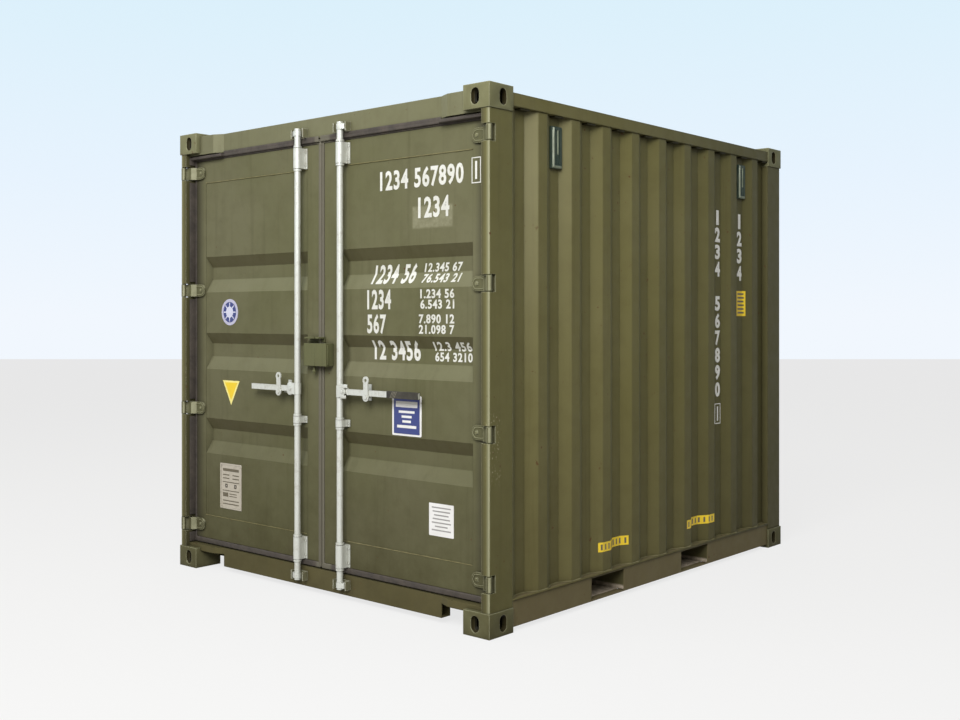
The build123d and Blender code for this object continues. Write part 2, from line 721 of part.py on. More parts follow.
def recess_body(recess, depth, grow):
    high, low, inner_high, inner_low = recess
    start_y = at_depth(DOOR_DEPTH + PANEL_SET)
    mid_x = (STILE_INNER_X + STILE_OUTER_X) / 2
    length = STILE_OUTER_X - STILE_INNER_X - 2 * SHEET
    inner_mid_z = (inner_high + inner_low) / 2
    outer_plane = Plane(origin=(mid_x, start_y, (high + low) / 2), x_dir=(1, 0, 0), z_dir=(0, 1, 0))
    inner_plane = Plane(origin=(mid_x, start_y + depth, inner_mid_z), x_dir=(1, 0, 0), z_dir=(0, 1, 0))
    with BuildPart() as body:
        with BuildSketch(outer_plane):
            Rectangle(length + 2 * grow, high - low + 2 * grow)
        with BuildSketch(inner_plane):
            Rectangle(length - 2 * RECESS_END + 2 * grow, inner_high - inner_low + 2 * grow)
        loft()
    return body


# Leaf panel: a sheet with three pressed recesses whose four sides slope
def leaf_panel():
    start_y = at_depth(DOOR_DEPTH + PANEL_SET)
    mid_x = (STILE_INNER_X + STILE_OUTER_X) / 2
    mid_z = (RAIL_SEAM_LOW + RAIL_SEAM_HIGH) / 2
    sheet_plane = Plane(origin=(mid_x, start_y, mid_z), x_dir=(1, 0, 0), z_dir=(0, 1, 0))
    backs = [recess_body(recess, RECESS_DEPTH + SHEET, SHEET) for recess in RECESSES]
    fronts = [recess_body(recess, RECESS_DEPTH, 0) for recess in RECESSES]
    with BuildPart() as panel:
        with BuildSketch(sheet_plane):
            Rectangle(STILE_OUTER_X - STILE_INNER_X, RAIL_SEAM_HIGH - RAIL_SEAM_LOW)
        extrude(amount=SHEET)
        for body in backs:
            add(body.part)
        for body in fronts:
            add(body.part, mode=Mode.SUBTRACT)
    return panel


# Seal: a flat rubber ring round the leaf, a little behind its face
def leaf_seal(edge_x, seal_x):
    plane = Plane(origin=(0, at_depth(DOOR_DEPTH + SEAL_SET), 0), x_dir=(1, 0, 0), z_dir=(0, -1, 0))
    outer_x = LEAF_OUTER_X + SEAL_HINGE
    low = LEAF_BOTTOM - SEAL_BOTTOM
    high = LEAF_TOP + SEAL_TOP
    with BuildPart() as seal:
        with BuildSketch(plane):
            with Locations(((seal_x + outer_x) / 2, (low + high) / 2)):
                Rectangle(outer_x - seal_x, high - low)
            with Locations(((edge_x + LEAF_OUTER_X) / 2, (LEAF_BOTTOM + LEAF_TOP) / 2)):
                Rectangle(LEAF_OUTER_X - edge_x, LEAF_TOP - LEAF_BOTTOM, mode=Mode.SUBTRACT)
        extrude(amount=-SEAL_T)
    return seal


# Hinge blades: flat straps cranked out of the leaf's face into a knuckle on each pin
def hinge_blades():
    face_y = at_depth(DOOR_DEPTH)
    run = [(PIN_X - inwards, PIN_Y + backwards) for inwards, backwards in BLADE_CRANK]
    run.append((LEAF_OUTER_X - BLADE_LAND, face_y - BLADE_T / 2))
    run.append((BLADE_TIP_X, face_y - BLADE_T / 2))
    with BuildPart() as blades:
        for z in HINGE_Z:
            with BuildSketch(Plane.XY.offset(z - BLADE_Z / 2)):
                with BuildLine():
                    Polyline(*run)
                trace(line_width=BLADE_T)
                with Locations((PIN_X, PIN_Y)):
                    Circle(KNUCKLE_R)
                    Circle(PIN_R + PIN_PLAY, mode=Mode.SUBTRACT)
            extrude(amount=BLADE_Z)
        tips = blades.edges().filter_by(Axis.Y).group_by(Axis.X)[0]
        fillet(tips, radius=BLADE_Z / 2 - BLADE_TIP_FLAT)
    return blades


# Bearing brackets: a saddle round the bar on a foot plate, three to a bar
def bar_brackets():
    face_y = at_depth(DOOR_DEPTH)
    with BuildPart() as brackets:
        for z, tall in BRACKETS:
            with BuildSketch(Plane.XY.offset(z - tall / 2)):
                with Locations((BAR_X, BAR_Y)):
                    Circle(BRACKET_R)
                with Locations((BAR_X, (BAR_Y + face_y) / 2)):
                    Rectangle(2 * BRACKET_R, face_y - BAR_Y)
                with Locations((BAR_X, face_y - BRACKET_FOOT_T / 2)):
                    Rectangle(2 * BRACKET_FOOT, BRACKET_FOOT_T)
                with Locations((BAR_X, BAR_Y)):
                    Circle(BAR_R + BAR_PLAY, mode=Mode.SUBTRACT)
            extrude(amount=tall)
    return brackets


# Catch: a cradle on the leaf, open in front and above, with a shelf under the handle
def handle_catch(plate_x):
    centre_x = plate_x - CATCH_SET
    face_y = at_depth(DOOR_DEPTH + PANEL_SET)
    shelf_z = HANDLE_Z - HANDLE_WIDE / 2 - CATCH_GAP
    with BuildPart() as catch:
        with BuildSketch(Plane.YZ.offset(centre_x - CATCH_WIDE / 2)):
            with Locations((face_y - CATCH_FOOT / 2, HANDLE_Z)):
                Rectangle(CATCH_FOOT, CATCH_TALL)
            with Locations((face_y - CATCH_REACH / 2, shelf_z - CATCH_FOOT / 2)):
                Rectangle(CATCH_REACH, CATCH_FOOT)
        extrude(amount=CATCH_WIDE)
    return catch


# Lock box: one half of a hollow box, open at the back and at the gap, and a lug above it
def lock_box(start, end, lug_long):
    face_y = at_depth(DOOR_DEPTH)
    front_y = at_depth(BOX_FRONT)
    lug_start = start + LUG_FROM_GAP
    with BuildPart() as box:
        with BuildSketch(Plane.XY.offset(BOX_LOW)):
            with Locations(((start + end) / 2, (face_y + front_y) / 2)):
                Rectangle(end - start, face_y - front_y)
        extrude(amount=BOX_HIGH - BOX_LOW)
        with BuildSketch(Plane.XY.offset(BOX_LOW + BOX_WALL)):
            with Locations(((start + end) / 2 - BOX_WALL, (face_y + front_y) / 2 + BOX_WALL)):
                Rectangle(end - start, face_y - front_y)
        extrude(amount=BOX_HIGH - BOX_LOW - 2 * BOX_WALL, mode=Mode.SUBTRACT)
        lug_plane = Plane.YZ.offset(lug_start)
        with BuildSketch(lug_plane):
            with Locations((face_y - LUG_T / 2, (LUG_LOW + LUG_HIGH) / 2)):
                Rectangle(LUG_T, LUG_HIGH - LUG_LOW)
            with Locations((face_y - LUG_REACH / 2, LUG_HIGH - LUG_T / 2)):
                Rectangle(LUG_REACH, LUG_T)
        extrude(amount=lug_long)
    return box


def right_lock_box():
    with BuildPart() as box:
        add(lock_box(GAP_X + BOX_GAP / 2, BOX_RIGHT, RIGHT_LUG_LONG).part)
        with BuildSketch(Plane.XY.offset(BOX_LOW)):
            with Locations((BOX_RIGHT - RIM_WIDE / 2, at_depth(BOX_FRONT - RIM_T / 2))):
                Rectangle(RIM_WIDE, RIM_T)
        extrude(amount=BOX_HIGH - BOX_LOW)
    return box


def left_lock_box():
    with BuildPart() as box:
        add(lock_box(BOX_GAP / 2 - GAP_X, BOX_LEFT, LEFT_LUG_LONG).part)
        with BuildSketch(Plane.XY.offset(BOX_LOW)):
            with Locations((STOP_X - STOP_T / 2, at_depth(DOOR_DEPTH - STOP_REACH / 2))):
                Rectangle(STOP_T, STOP_REACH)
        extrude(amount=BOX_HIGH - BOX_LOW)
    return box


# Locking bar: a round bar with a cam at each end, collars and the handle's forked hub
def locking_bar():
    with BuildPart() as bar:
        with BuildSketch(Plane.XY.offset(BAR_BOTTOM)):
            with Locations((BAR_X, BAR_Y)):
                Circle(BAR_R)
        extrude(amount=BAR_TOP - BAR_BOTTOM)
        for z in (LOW_CAM_Z, TOP_CAM_Z):
            with BuildSketch(Plane.XY.offset(z - CAM_Z / 2)):
                with Locations((BAR_X, BAR_Y)):
                    Circle(CAM_RING_R)
                with Locations((BAR_X + CAM_NOSE_REACH, BAR_Y)):
                    Circle(CAM_NOSE_R)
                make_hull()
            extrude(amount=CAM_Z)
        for z, tall in BRACKETS:
            for low in (z - tall / 2 - COLLAR_GAP - COLLAR_Z, z + tall / 2 + COLLAR_GAP):
                with BuildSketch(Plane.XY.offset(low)):
                    with Locations((BAR_X, BAR_Y)):
                        Circle(COLLAR_R)
                extrude(amount=COLLAR_Z)
        fork_plane = Plane(origin=(0, at_depth(HUB_FRONT), 0), x_dir=(1, 0, 0), z_dir=(0, -1, 0))
        with BuildSketch(fork_plane):
            with Locations((BAR_X + HUB_ROOT / 2, HANDLE_Z)):
                Rectangle(HUB_ROOT, HUB_Z)
            with Locations((BAR_X + HINGE_PIN_X, HANDLE_Z)):
                Circle(HUB_LUG_R)
            make_hull()
        extrude(amount=HUB_FRONT - HUB_BACK)
        slot_length = HINGE_PIN_X + HUB_LUG_R - SLOT_START
        with BuildSketch(Plane.XY.offset(HANDLE_Z - HUB_Z / 2)):
            with Locations((BAR_X + SLOT_START + slot_length / 2, at_depth((SLOT_FRONT + SLOT_BACK) / 2))):
                Rectangle(slot_length, SLOT_BACK - SLOT_FRONT)
        extrude(amount=HUB_Z, mode=Mode.SUBTRACT)
        with BuildSketch(Plane.XY.offset(HANDLE_Z - HUB_Z / 2)):
            with Locations((BAR_X, BAR_Y)):
                Circle(CAM_RING_R)
        extrude(amount=HUB_Z)
        pin_plane = Plane(origin=(BAR_X + HINGE_PIN_X, at_depth(HUB_FRONT), HANDLE_Z), z_dir=(0, 1, 0))
        with BuildSketch(pin_plane):
            Circle(HINGE_PIN_R)
        extrude(amount=HUB_BACK - HUB_FRONT)
    return bar


# Handle: a flat lever with an eye at the hub, and across it a lock plate with two lobes
def handle(end_x, plate_x):
    front_depth = (SLOT_FRONT + SLOT_BACK - HANDLE_T) / 2
    plane = Plane(origin=(0, at_depth(front_depth), 0), x_dir=(1, 0, 0), z_dir=(0, -1, 0))
    eye_x = BAR_X + HINGE_PIN_X
    bar_start = eye_x + HUB_LUG_R + HUB_CLEAR
    high_lobe = (plate_x, HANDLE_Z + PLATE_HIGH - PLATE_R)
    low_lobe = (plate_x, HANDLE_Z - PLATE_LOW + PLATE_R)
    with BuildPart() as lever:
        with BuildSketch(plane):
            with Locations((eye_x, HANDLE_Z)):
                Circle(TONGUE_R)
            with Locations(((eye_x + end_x) / 2, HANDLE_Z)):
                Rectangle(end_x - eye_x, 2 * TONGUE_R)
            with Locations(((bar_start + end_x) / 2, HANDLE_Z)):
                Rectangle(end_x - bar_start, HANDLE_WIDE)
            with Locations((eye_x, HANDLE_Z)):
                Circle(HINGE_PIN_R + PIN_PLAY, mode=Mode.SUBTRACT)
        extrude(amount=-HANDLE_T)
        with BuildSketch(plane):
            with Locations(high_lobe, low_lobe):
                Circle(PLATE_R)
            with Locations((plate_x, (high_lobe[1] + low_lobe[1]) / 2)):
                Rectangle(PLATE_WAIST, high_lobe[1] - low_lobe[1])
            with Locations(high_lobe):
                Circle(PLATE_HOLE_R, mode=Mode.SUBTRACT)
        extrude(amount=PLATE_T)
        with BuildSketch(plane.offset(PLATE_T)):
            with Locations(low_lobe):
                Circle(BOSS_R)
        extrude(amount=BOSS_T)
    return lever


# Grip: a rubber sleeve over the right handle's free end
def handle_grip():
    centre = (at_depth((SLOT_FRONT + SLOT_BACK) / 2), HANDLE_Z)
    with BuildPart() as grip:
        with BuildSketch(Plane.YZ.offset(RIGHT_GRIP_START)) as section:
            with Locations(centre):
                Rectangle(HANDLE_T + 2 * GRIP_WALL, HANDLE_WIDE + 2 * GRIP_WALL)
            fillet(section.vertices(), radius=GRIP_WALL)
            with Locations(centre):
                Rectangle(HANDLE_T, HANDLE_WIDE, mode=Mode.SUBTRACT)
        extrude(amount=RIGHT_HANDLE_END - RIGHT_GRIP_START)
    return grip


all_corner_castings()

for name, piece in (
    ("door_post", door_post()),
    ("blind_post", blind_post()),
    ("side_wall", side_wall()),
    ("side_bottom_rail", side_bottom_rail()),
    ("side_top_rail", side_top_rail()),
    ("door_panel", leaf_panel()),
    ("hinge_blades", hinge_blades()),
    ("bar_brackets", bar_brackets()),
    ("locking_bar", locking_bar()),
):
    save(piece, f"right_{name}")
    save(across(piece), f"left_{name}")

save(door_header(), "door_header")
save(door_sill(), "door_sill")
save(blind_wall(), "blind_wall")
save(blind_rail(RAIL_BOTTOM, RAIL_TOP), "blind_bottom_rail")
save(blind_rail(TOP_RAIL_BOTTOM, TOP_RAIL_TOP), "blind_top_rail")
save(roof_panel(), "roof_panel")
save(floor_board(), "floor_board")
save(cross_members(), "cross_members")
save(fork_pockets(), "fork_pockets")
save(side_vents(), "side_vents")
save(cam_keepers(), "cam_keepers")

save(leaf_frame(RIGHT_EDGE_X), "right_door_frame")
save(across(leaf_frame(LEFT_EDGE_X)), "left_door_frame")
save(leaf_seal(RIGHT_EDGE_X, RIGHT_SEAL_X), "right_door_seal")
save(across(leaf_seal(LEFT_EDGE_X, LEFT_SEAL_X)), "left_door_seal")
save(handle_catch(PLATE_X), "right_handle_catch")
save(across(handle_catch(LEFT_PLATE_X)), "left_handle_catch")
save(right_lock_box(), "right_lock_box")
save(across(left_lock_box()), "left_lock_box")
save(handle(RIGHT_HANDLE_END, PLATE_X), "right_handle")
save(across(handle(LEFT_HANDLE_END, LEFT_PLATE_X)), "left_handle")
save(handle_grip(), "right_handle_grip")
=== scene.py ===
import bpy
import json
import math
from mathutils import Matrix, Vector


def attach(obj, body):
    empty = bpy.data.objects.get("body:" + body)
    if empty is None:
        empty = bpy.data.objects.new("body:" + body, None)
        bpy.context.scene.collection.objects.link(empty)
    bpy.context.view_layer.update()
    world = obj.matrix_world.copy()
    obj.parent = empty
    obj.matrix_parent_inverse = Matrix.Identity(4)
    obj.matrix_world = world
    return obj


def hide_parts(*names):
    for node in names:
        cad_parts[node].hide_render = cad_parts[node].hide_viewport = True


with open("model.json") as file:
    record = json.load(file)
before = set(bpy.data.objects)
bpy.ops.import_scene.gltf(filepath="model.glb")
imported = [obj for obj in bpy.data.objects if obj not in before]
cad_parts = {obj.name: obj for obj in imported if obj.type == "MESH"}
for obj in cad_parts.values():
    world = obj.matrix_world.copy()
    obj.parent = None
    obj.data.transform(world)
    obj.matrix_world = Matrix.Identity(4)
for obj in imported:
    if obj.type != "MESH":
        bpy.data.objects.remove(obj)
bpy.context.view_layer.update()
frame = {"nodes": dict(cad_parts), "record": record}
nodes = frame["nodes"]


# The container's main places, as the solids have them

FRONT_Y = -1.4955
HALF_WIDTH = 1.219
HEIGHT = 2.591
DOOR_FACE_Y = FRONT_Y + 0.072
PANEL_Y = FRONT_Y + 0.074
RECESSES = ((1.854, 1.792, 1.719, 1.643), (1.400, 1.338, 1.261, 1.186), (0.892, 0.827, 0.755, 0.683))
RECESS_DEEP = 0.036
RECESS_ENDS = (0.137, 0.149, 1.043, 1.055)
PANEL_EDGE = 1.057
WALL_X = 1.209
WAVES = 10
WAVE_FIRST, WAVE_STEP, WAVE_FLAT, WAVE_EDGE, WAVE_DEEP = -1.214, 0.278, 0.035, 0.103, 0.036
HINGE_HEIGHTS = (0.252, 0.949, 1.655, 2.358)
PIN_X, PIN_Y = 1.203, -1.478
BRACKET_ROWS = ((2.360, 0.111), (0.937, 0.036), (0.238, 0.120))
BAR_X = 0.170
HUB_X, HUB_Z = 0.208, 1.106
VENT_YS, VENT_Z = (-0.936, 1.010), 2.345
LEDGE_FOOT, LEDGE_TOP = 0.1505, 0.1565
SIDE = {1: "right", -1: "left"}


# Colours and node helpers

def tint(red, green, blue):
    """A colour as seen on a screen, 0 to 255, in Blender's linear values."""
    def one(v):
        v = v / 255
        return v / 12.92 if v <= 0.04045 else ((v + 0.055) / 1.055) ** 2.4
    return (one(red), one(green), one(blue), 1)


class Wiring:
    """The nodes of a material or of the world, put in and joined step by step."""

    def __init__(self, tree):
        self.tree = tree

    def node(self, kind, **inputs):
        made = self.tree.nodes.new(kind)
        for name, value in inputs.items():
            self.put(made.inputs[name], value)
        return made

    def put(self, socket, value):
        if isinstance(value, bpy.types.NodeSocket):
            self.tree.links.new(value, socket)
        else:
            socket.default_value = value

    def maths(self, how, a, b=0.0):
        made = self.node("ShaderNodeMath")
        made.operation = how
        self.put(made.inputs[0], a)
        self.put(made.inputs[1], b)
        return made.outputs[0]

    def looked_at(self):
        """1 where the camera sees this, straight or in gloss or glass, and 0 where it only throws light."""
        rays = self.node("ShaderNodeLightPath").outputs
        look = self.maths("MAXIMUM", rays["Is Camera Ray"], rays["Is Glossy Ray"])
        return self.maths("MAXIMUM", look, rays["Is Transmission Ray"])

    def either(self, part, a, b):
        """Shader a where part is 0, shader b where it is 1."""
        made = self.node("ShaderNodeMixShader", Fac=part)
        self.put(made.inputs[1], a)
        self.put(made.inputs[2], b)
        return made.outputs[0]


class Finish(Wiring):
    """One material."""

    def __init__(self, name):
        self.mat = bpy.data.materials.new(name)
        self.mat.use_nodes = True
        super().__init__(self.mat.node_tree)
        self.shader = self.tree.nodes["Principled BSDF"]
        self.spot = self.node("ShaderNodeTexCoord").outputs["Object"]
        self.rounded = {}

    def stretched(self, x, y, z):
        return self.node("ShaderNodeMapping", Vector=self.spot, Scale=(x, y, z)).outputs["Vector"]

    def noise(self, scale, detail=3.0, rough=0.55, where=None):
        made = self.node("ShaderNodeTexNoise", Vector=where or self.spot, Scale=scale, Detail=detail, Roughness=rough)
        return made.outputs["Fac"]

    def spread(self, value, low, high, to_low=0.0, to_high=1.0):
        made = self.node("ShaderNodeMapRange")
        self.put(made.inputs[0], value)
        for i, v in enumerate((low, high, to_low, to_high)):
            made.inputs[i + 1].default_value = v
        return made.outputs[0]

    def times(self, a, b):
        return self.maths("MULTIPLY", a, b)

    def mix(self, part, a, b):
        made = self.node("ShaderNodeMix")
        made.data_type = "RGBA"
        self.put(made.inputs[0], part)
        self.put(made.inputs[6], a)
        self.put(made.inputs[7], b)
        return made.outputs[2]

    def axis(self, letter):
        return self.node("ShaderNodeSeparateXYZ", Vector=self.spot).outputs[letter]

    def bump(self, height, strength, distance, under=None):
        made = self.node("ShaderNodeBump", Height=height, Strength=strength, Distance=distance)
        if under is not None:
            self.put(made.inputs["Normal"], under)
        return made.outputs["Normal"]

    def within(self, box, edge):
        """1 inside a box given by two corners, fading to 0 over edge."""
        inside = 1.0
        for letter, low, high in zip("XYZ", *box):
            place = self.axis(letter)
            inside = self.times(inside, self.spread(place, low, low + edge))
            inside = self.times(inside, self.spread(place, high - edge, high, 1.0, 0.0))
        return inside

    def eased(self, radius):
        """The normal of a face whose sharp edges are a little rounded, as pressed and cast steel is."""
        if radius not in self.rounded:
            made = self.node("ShaderNodeBevel", Radius=radius)
            made.samples = 4
            self.rounded[radius] = made.outputs["Normal"]
        return self.rounded[radius]

    def dirt_and_shade_in_corners(self, reach):
        """1 in corners and under edges, 0 on open faces; it darkens paint there, partly as soiling and partly as
        painted shade.
        """
        made = self.node("ShaderNodeAmbientOcclusion", Distance=reach)
        made.samples = 6
        return self.spread(made.outputs["AO"], 0.45, 0.95, 1.0, 0.0)

    def turned(self, radius):
        """The three parts of the normal of a face whose sharp edges are rounded by radius."""
        return self.node("ShaderNodeSeparateXYZ", Vector=self.eased(radius)).outputs

    def edges(self, radius):
        """1 along edges, sharp or round, 0 on faces square to the container."""
        square = 0.0
        for part in self.turned(radius):
            square = self.maths("MAXIMUM", square, self.maths("ABSOLUTE", part))
        return self.spread(square, 0.86, 0.985, 1.0, 0.0)

    def across(self, start, full):
        """Grows from 0 at start to 1 at full, away from the middle of the doors, near the door end only."""
        far = self.spread(self.maths("ABSOLUTE", self.axis("X")), start, full)
        return self.times(far, self.spread(self.axis("Y"), -1.42, -1.36, 1.0, 0.0))

    def done(self, colour, rough, normal, shine=0.5):
        for name, value in (("Base Color", colour), ("Roughness", rough), ("Normal", normal)):
            self.put(self.shader.inputs[name], value)
        self.shader.inputs["Specular IOR Level"].default_value = shine
        return self.mat


# Materials

def steel_paint(name, fresh, faded, dirt_and_shade, chips=0.0, dirt_and_shade_top=1.5, dirt_and_shade_share=0.5, rubbed=None, chipped=None,
                edge=0.0, edge_wide=0.004, shade=None, rubbed_tone=tint(150, 148, 122), slopes=False, corners=0.5,
                pale=None, bend=0.004, painted_wall_light=False):
    """Sprayed paint on sheet steel: slow changes of tone, rain streaks, darker low down (partly soiling, partly
    painted shade), chips to rust.

    rubbed and chipped are places, each a lowest and a highest corner: one rubbed pale, one with many chips.
    edge is how pale the edges are made, partly worn paint and partly painted highlight; shade says from where to
    where along X painted shade darkens the paint, and how much;
    slopes says whether sloping faces that look up are painted paler, as painted light from above, and those that look
    down darker, as painted shade;
    pale is like shade, for where a painted highlight lies on a front face towards its rounded corner; bend is the
    radius of folds;
    the last switch, for the side wall, says whether its slopes that face the doors get a painted highlight high up
    near the doors, its flats painted shade low down, and the whole wall painted shade towards the far end.
    """
    f = Finish(name)
    slow = f.spread(f.noise(1.3, 4), 0.36, 0.64)
    colour = f.mix(slow, fresh, faded)
    cloud = f.spread(f.noise(9.0, 5, 0.65), 0.45, 0.75, 0.0, 0.22)
    colour = f.mix(cloud, colour, dirt_and_shade)
    streak = f.spread(f.noise(1.0, 4, 0.6, f.stretched(23, 23, 0.9)), 0.55, 0.78, 0.0, 0.3)
    colour = f.mix(streak, colour, dirt_and_shade)
    # Darker low down: partly soiling, partly painted shade, as the light comes from above.
    low = f.spread(f.axis("Z"), 0.0, dirt_and_shade_top, 1.0, 0.0)
    low = f.times(f.maths("POWER", low, 1.6), dirt_and_shade_share)
    low = f.times(low, f.spread(f.noise(4.0, 6, 0.7), 0.3, 0.7, 0.45, 1.0))
    colour = f.mix(low, colour, dirt_and_shade)
    if rubbed:
        # On the fork pockets' floor the pale patch is partly paint rubbed off by forks and partly painted light, as
        # little light reaches in.
        scuffs = f.spread(f.noise(26.0, 5, 0.7), 0.35, 0.7, 0.25, 0.75)
        colour = f.mix(f.times(f.within(rubbed, 0.012), scuffs), colour, rubbed_tone)
    if slopes:
        # Faces that look up are painted paler, as painted light from above; faces that look down are painted darker,
        # as painted shade.
        up = f.turned(0.004)[2]
        dust = f.times(f.spread(up, 0.10, 0.42), f.spread(f.axis("Z"), 0.75, 1.5, 0.09, 0.20))
        colour = f.mix(dust, colour, tint(150, 150, 122))
        colour = f.mix(f.spread(up, -0.38, -0.10, 0.40, 0.0), colour, tint(68, 58, 30))
    if painted_wall_light:
        # Painted highlight on the wall's slopes that face the doors, high up near the doors.
        painted_slope_light = f.times(f.spread(f.turned(bend)[1], -0.4, -0.1, 1.0, 0.0), f.spread(f.axis("Z"), 1.1, 2.1))
        painted_slope_light = f.times(painted_slope_light, f.spread(f.axis("Y"), -1.3, -0.4, 0.55, 0.0))
        colour = f.mix(painted_slope_light, colour, tint(152, 148, 116))
        # Painted shade on the wall's flats low down.
        flat = f.spread(f.maths("ABSOLUTE", f.turned(bend)[0]), 0.80, 0.97)
        painted_low_shade = f.times(flat, f.spread(f.axis("Z"), 0.3, 1.5, 0.10, 0.0))
        colour = f.mix(painted_low_shade, colour, tint(62, 56, 32))
        # Painted shade growing towards the wall's far end.
        colour = f.mix(f.spread(f.axis("Y"), -0.3, 1.4, 0.0, 0.52), colour, tint(56, 53, 36))
    if shade:
        # Painted shade across X: the post's shadow on each leaf's outer stile, and shade on the inner strip of the
        # post's front face.
        painted_shade = f.times(f.across(shade[0], shade[1]), shade[2])
        colour = f.mix(painted_shade, colour, tint(62, 59, 46))
    if pale:
        # Painted highlight on a front face towards its rounded outer corner.
        front = f.spread(f.turned(0.004)[1], -0.8, -0.4, pale[2], 0.0)
        painted_highlight = f.times(f.across(pale[0], pale[1]), front)
        colour = f.mix(painted_highlight, colour, tint(164, 164, 136))
    # Pale edges: partly worn paint, partly painted highlight on rounded edges.
    if edge:
        worn = f.times(f.edges(edge_wide), f.spread(f.noise(11.0, 3), 0.3, 0.6, edge * 0.6, edge))
        colour = f.mix(worn, colour, tint(162, 161, 132))
    # Darker in corners and under edges: partly soiling, partly painted shade.
    corner = f.times(f.dirt_and_shade_in_corners(0.03), corners)
    colour = f.mix(corner, colour, tint(50, 47, 28))
    spots = f.spread(f.noise(38.0, 2, 0.5), 0.735 - 0.03 * chips, 0.75 - 0.03 * chips)
    spots = f.times(spots, f.spread(f.noise(5.0, 2), 0.5, 0.6))
    colour = f.mix(spots, colour, tint(88, 60, 36))
    if chipped:
        bare = f.times(f.within(chipped, 0.03), f.spread(f.noise(95.0, 3, 0.6), 0.635, 0.66))
        colour = f.mix(bare, colour, tint(168, 160, 130))
    rough = f.spread(f.noise(17.0, 4), 0.3, 0.7, 0.52, 0.64)
    rough = f.maths("ADD", rough, f.times(low, 0.2))
    skin = f.bump(f.noise(420.0, 2), 0.10, 0.0006, f.eased(bend))
    dents = f.bump(f.noise(3.1, 2, 0.4), 0.3, 0.006, skin)
    normal = f.bump(f.maths("SUBTRACT", 1.0, spots), 0.35, 0.0006, dents)
    return f.done(colour, rough, normal, 0.18)


def zinc_plate(name, light, dull, metal=0.35, edge=0.0):
    """Galvanised or zinc coated steel: pale grey crystals, a few stains, edges paler where edge says so, partly worn
    and partly painted highlight.
    """
    f = Finish(name)
    flower = f.node("ShaderNodeTexVoronoi", Vector=f.spot, Scale=160.0)
    grain = f.spread(flower.outputs["Distance"], 0.0, 0.7, 0.0, 0.35)
    colour = f.mix(grain, light, dull)
    stain = f.spread(f.noise(24.0, 5, 0.7), 0.55, 0.72, 0.0, 0.45)
    colour = f.mix(stain, colour, tint(150, 140, 118))
    streak = f.spread(f.noise(1.0, 3, 0.5, f.stretched(70, 70, 3)), 0.55, 0.75, 0.0, 0.3)
    colour = f.mix(streak, colour, tint(168, 164, 152))
    # Pale edges: partly worn, partly painted highlight.
    if edge:
        colour = f.mix(f.times(f.edges(0.003), edge), colour, tint(232, 231, 216))
    # Darker in corners and under edges: partly soiling, partly painted shade.
    corner = f.times(f.dirt_and_shade_in_corners(0.010), 0.45)
    colour = f.mix(corner, colour, tint(110, 106, 92))
    rough = f.spread(f.noise(60.0, 3), 0.3, 0.7, 0.34, 0.5)
    f.shader.inputs["Metallic"].default_value = metal
    return f.done(colour, rough, f.bump(f.noise(300.0, 2), 0.12, 0.0005))


def black_rubber(name, colour, dust, middle=None):
    """Rubber gone grey with dust; middle is its tone in the gap between the doors."""
    f = Finish(name)
    dusty = f.spread(f.noise(14.0, 5, 0.7), 0.38, 0.72, 0.1, 0.8)
    tone = f.mix(dusty, colour, dust)
    if middle:
        near = f.spread(f.maths("ABSOLUTE", f.axis("X")), 0.05, 0.07, 0.85, 0.0)
        tone = f.mix(near, tone, middle)
    rough = f.spread(f.noise(40.0, 3), 0.3, 0.7, 0.62, 0.8)
    return f.done(tone, rough, f.bump(f.noise(500.0, 2), 0.2, 0.0004), 0.3)


def moulded_plastic(name, colour, faded):
    """The vents' plastic, faded in clouds, dust in runs down it."""
    f = Finish(name)
    tone = f.mix(f.spread(f.noise(16.0, 4), 0.35, 0.65), colour, faded)
    dust = f.spread(f.noise(1.0, 3, 0.5, f.stretched(50, 50, 5)), 0.5, 0.75, 0.0, 0.5)
    tone = f.mix(dust, tone, tint(120, 122, 100))
    rough = f.spread(f.noise(70.0, 3), 0.3, 0.7, 0.42, 0.6)
    return f.done(tone, rough, f.bump(f.noise(650.0, 2), 0.15, 0.0003), 0.2)


def plywood(name):
    """Floor boards: long grain across, boards seen by their joints, scuffs."""
    f = Finish(name)
    grain = f.noise(1.0, 8, 0.7, f.stretched(3, 90, 60))
    tone = f.mix(f.spread(grain, 0.35, 0.68), tint(146, 106, 70), tint(92, 60, 38))
    scuff = f.spread(f.noise(1.0, 4, 0.6, f.stretched(12, 1.2, 4)), 0.55, 0.75, 0.0, 0.5)
    tone = f.mix(scuff, tone, tint(170, 150, 122))
    rough = f.spread(grain, 0.3, 0.7, 0.5, 0.75)
    return f.done(tone, rough, f.bump(grain, 0.3, 0.0012))


def worn_paint(name, colour, under, worn=0.5, shine=0.5):
    """Sign paint or a glued label, rubbed and dusty in places."""
    f = Finish(name)
    rub = f.spread(f.noise(55.0, 5, 0.7), 0.66 - 0.08 * worn, 0.74 - 0.05 * worn)
    tone = f.mix(f.spread(f.noise(7.0, 4), 0.35, 0.7, 0.0, 0.3), colour, under)
    tone = f.mix(rub, tone, under)
    rough = f.spread(f.noise(30.0, 3), 0.3, 0.7, 0.42, 0.6)
    return f.done(tone, rough, f.bump(f.noise(240.0, 2), 0.1, 0.0004), shine)


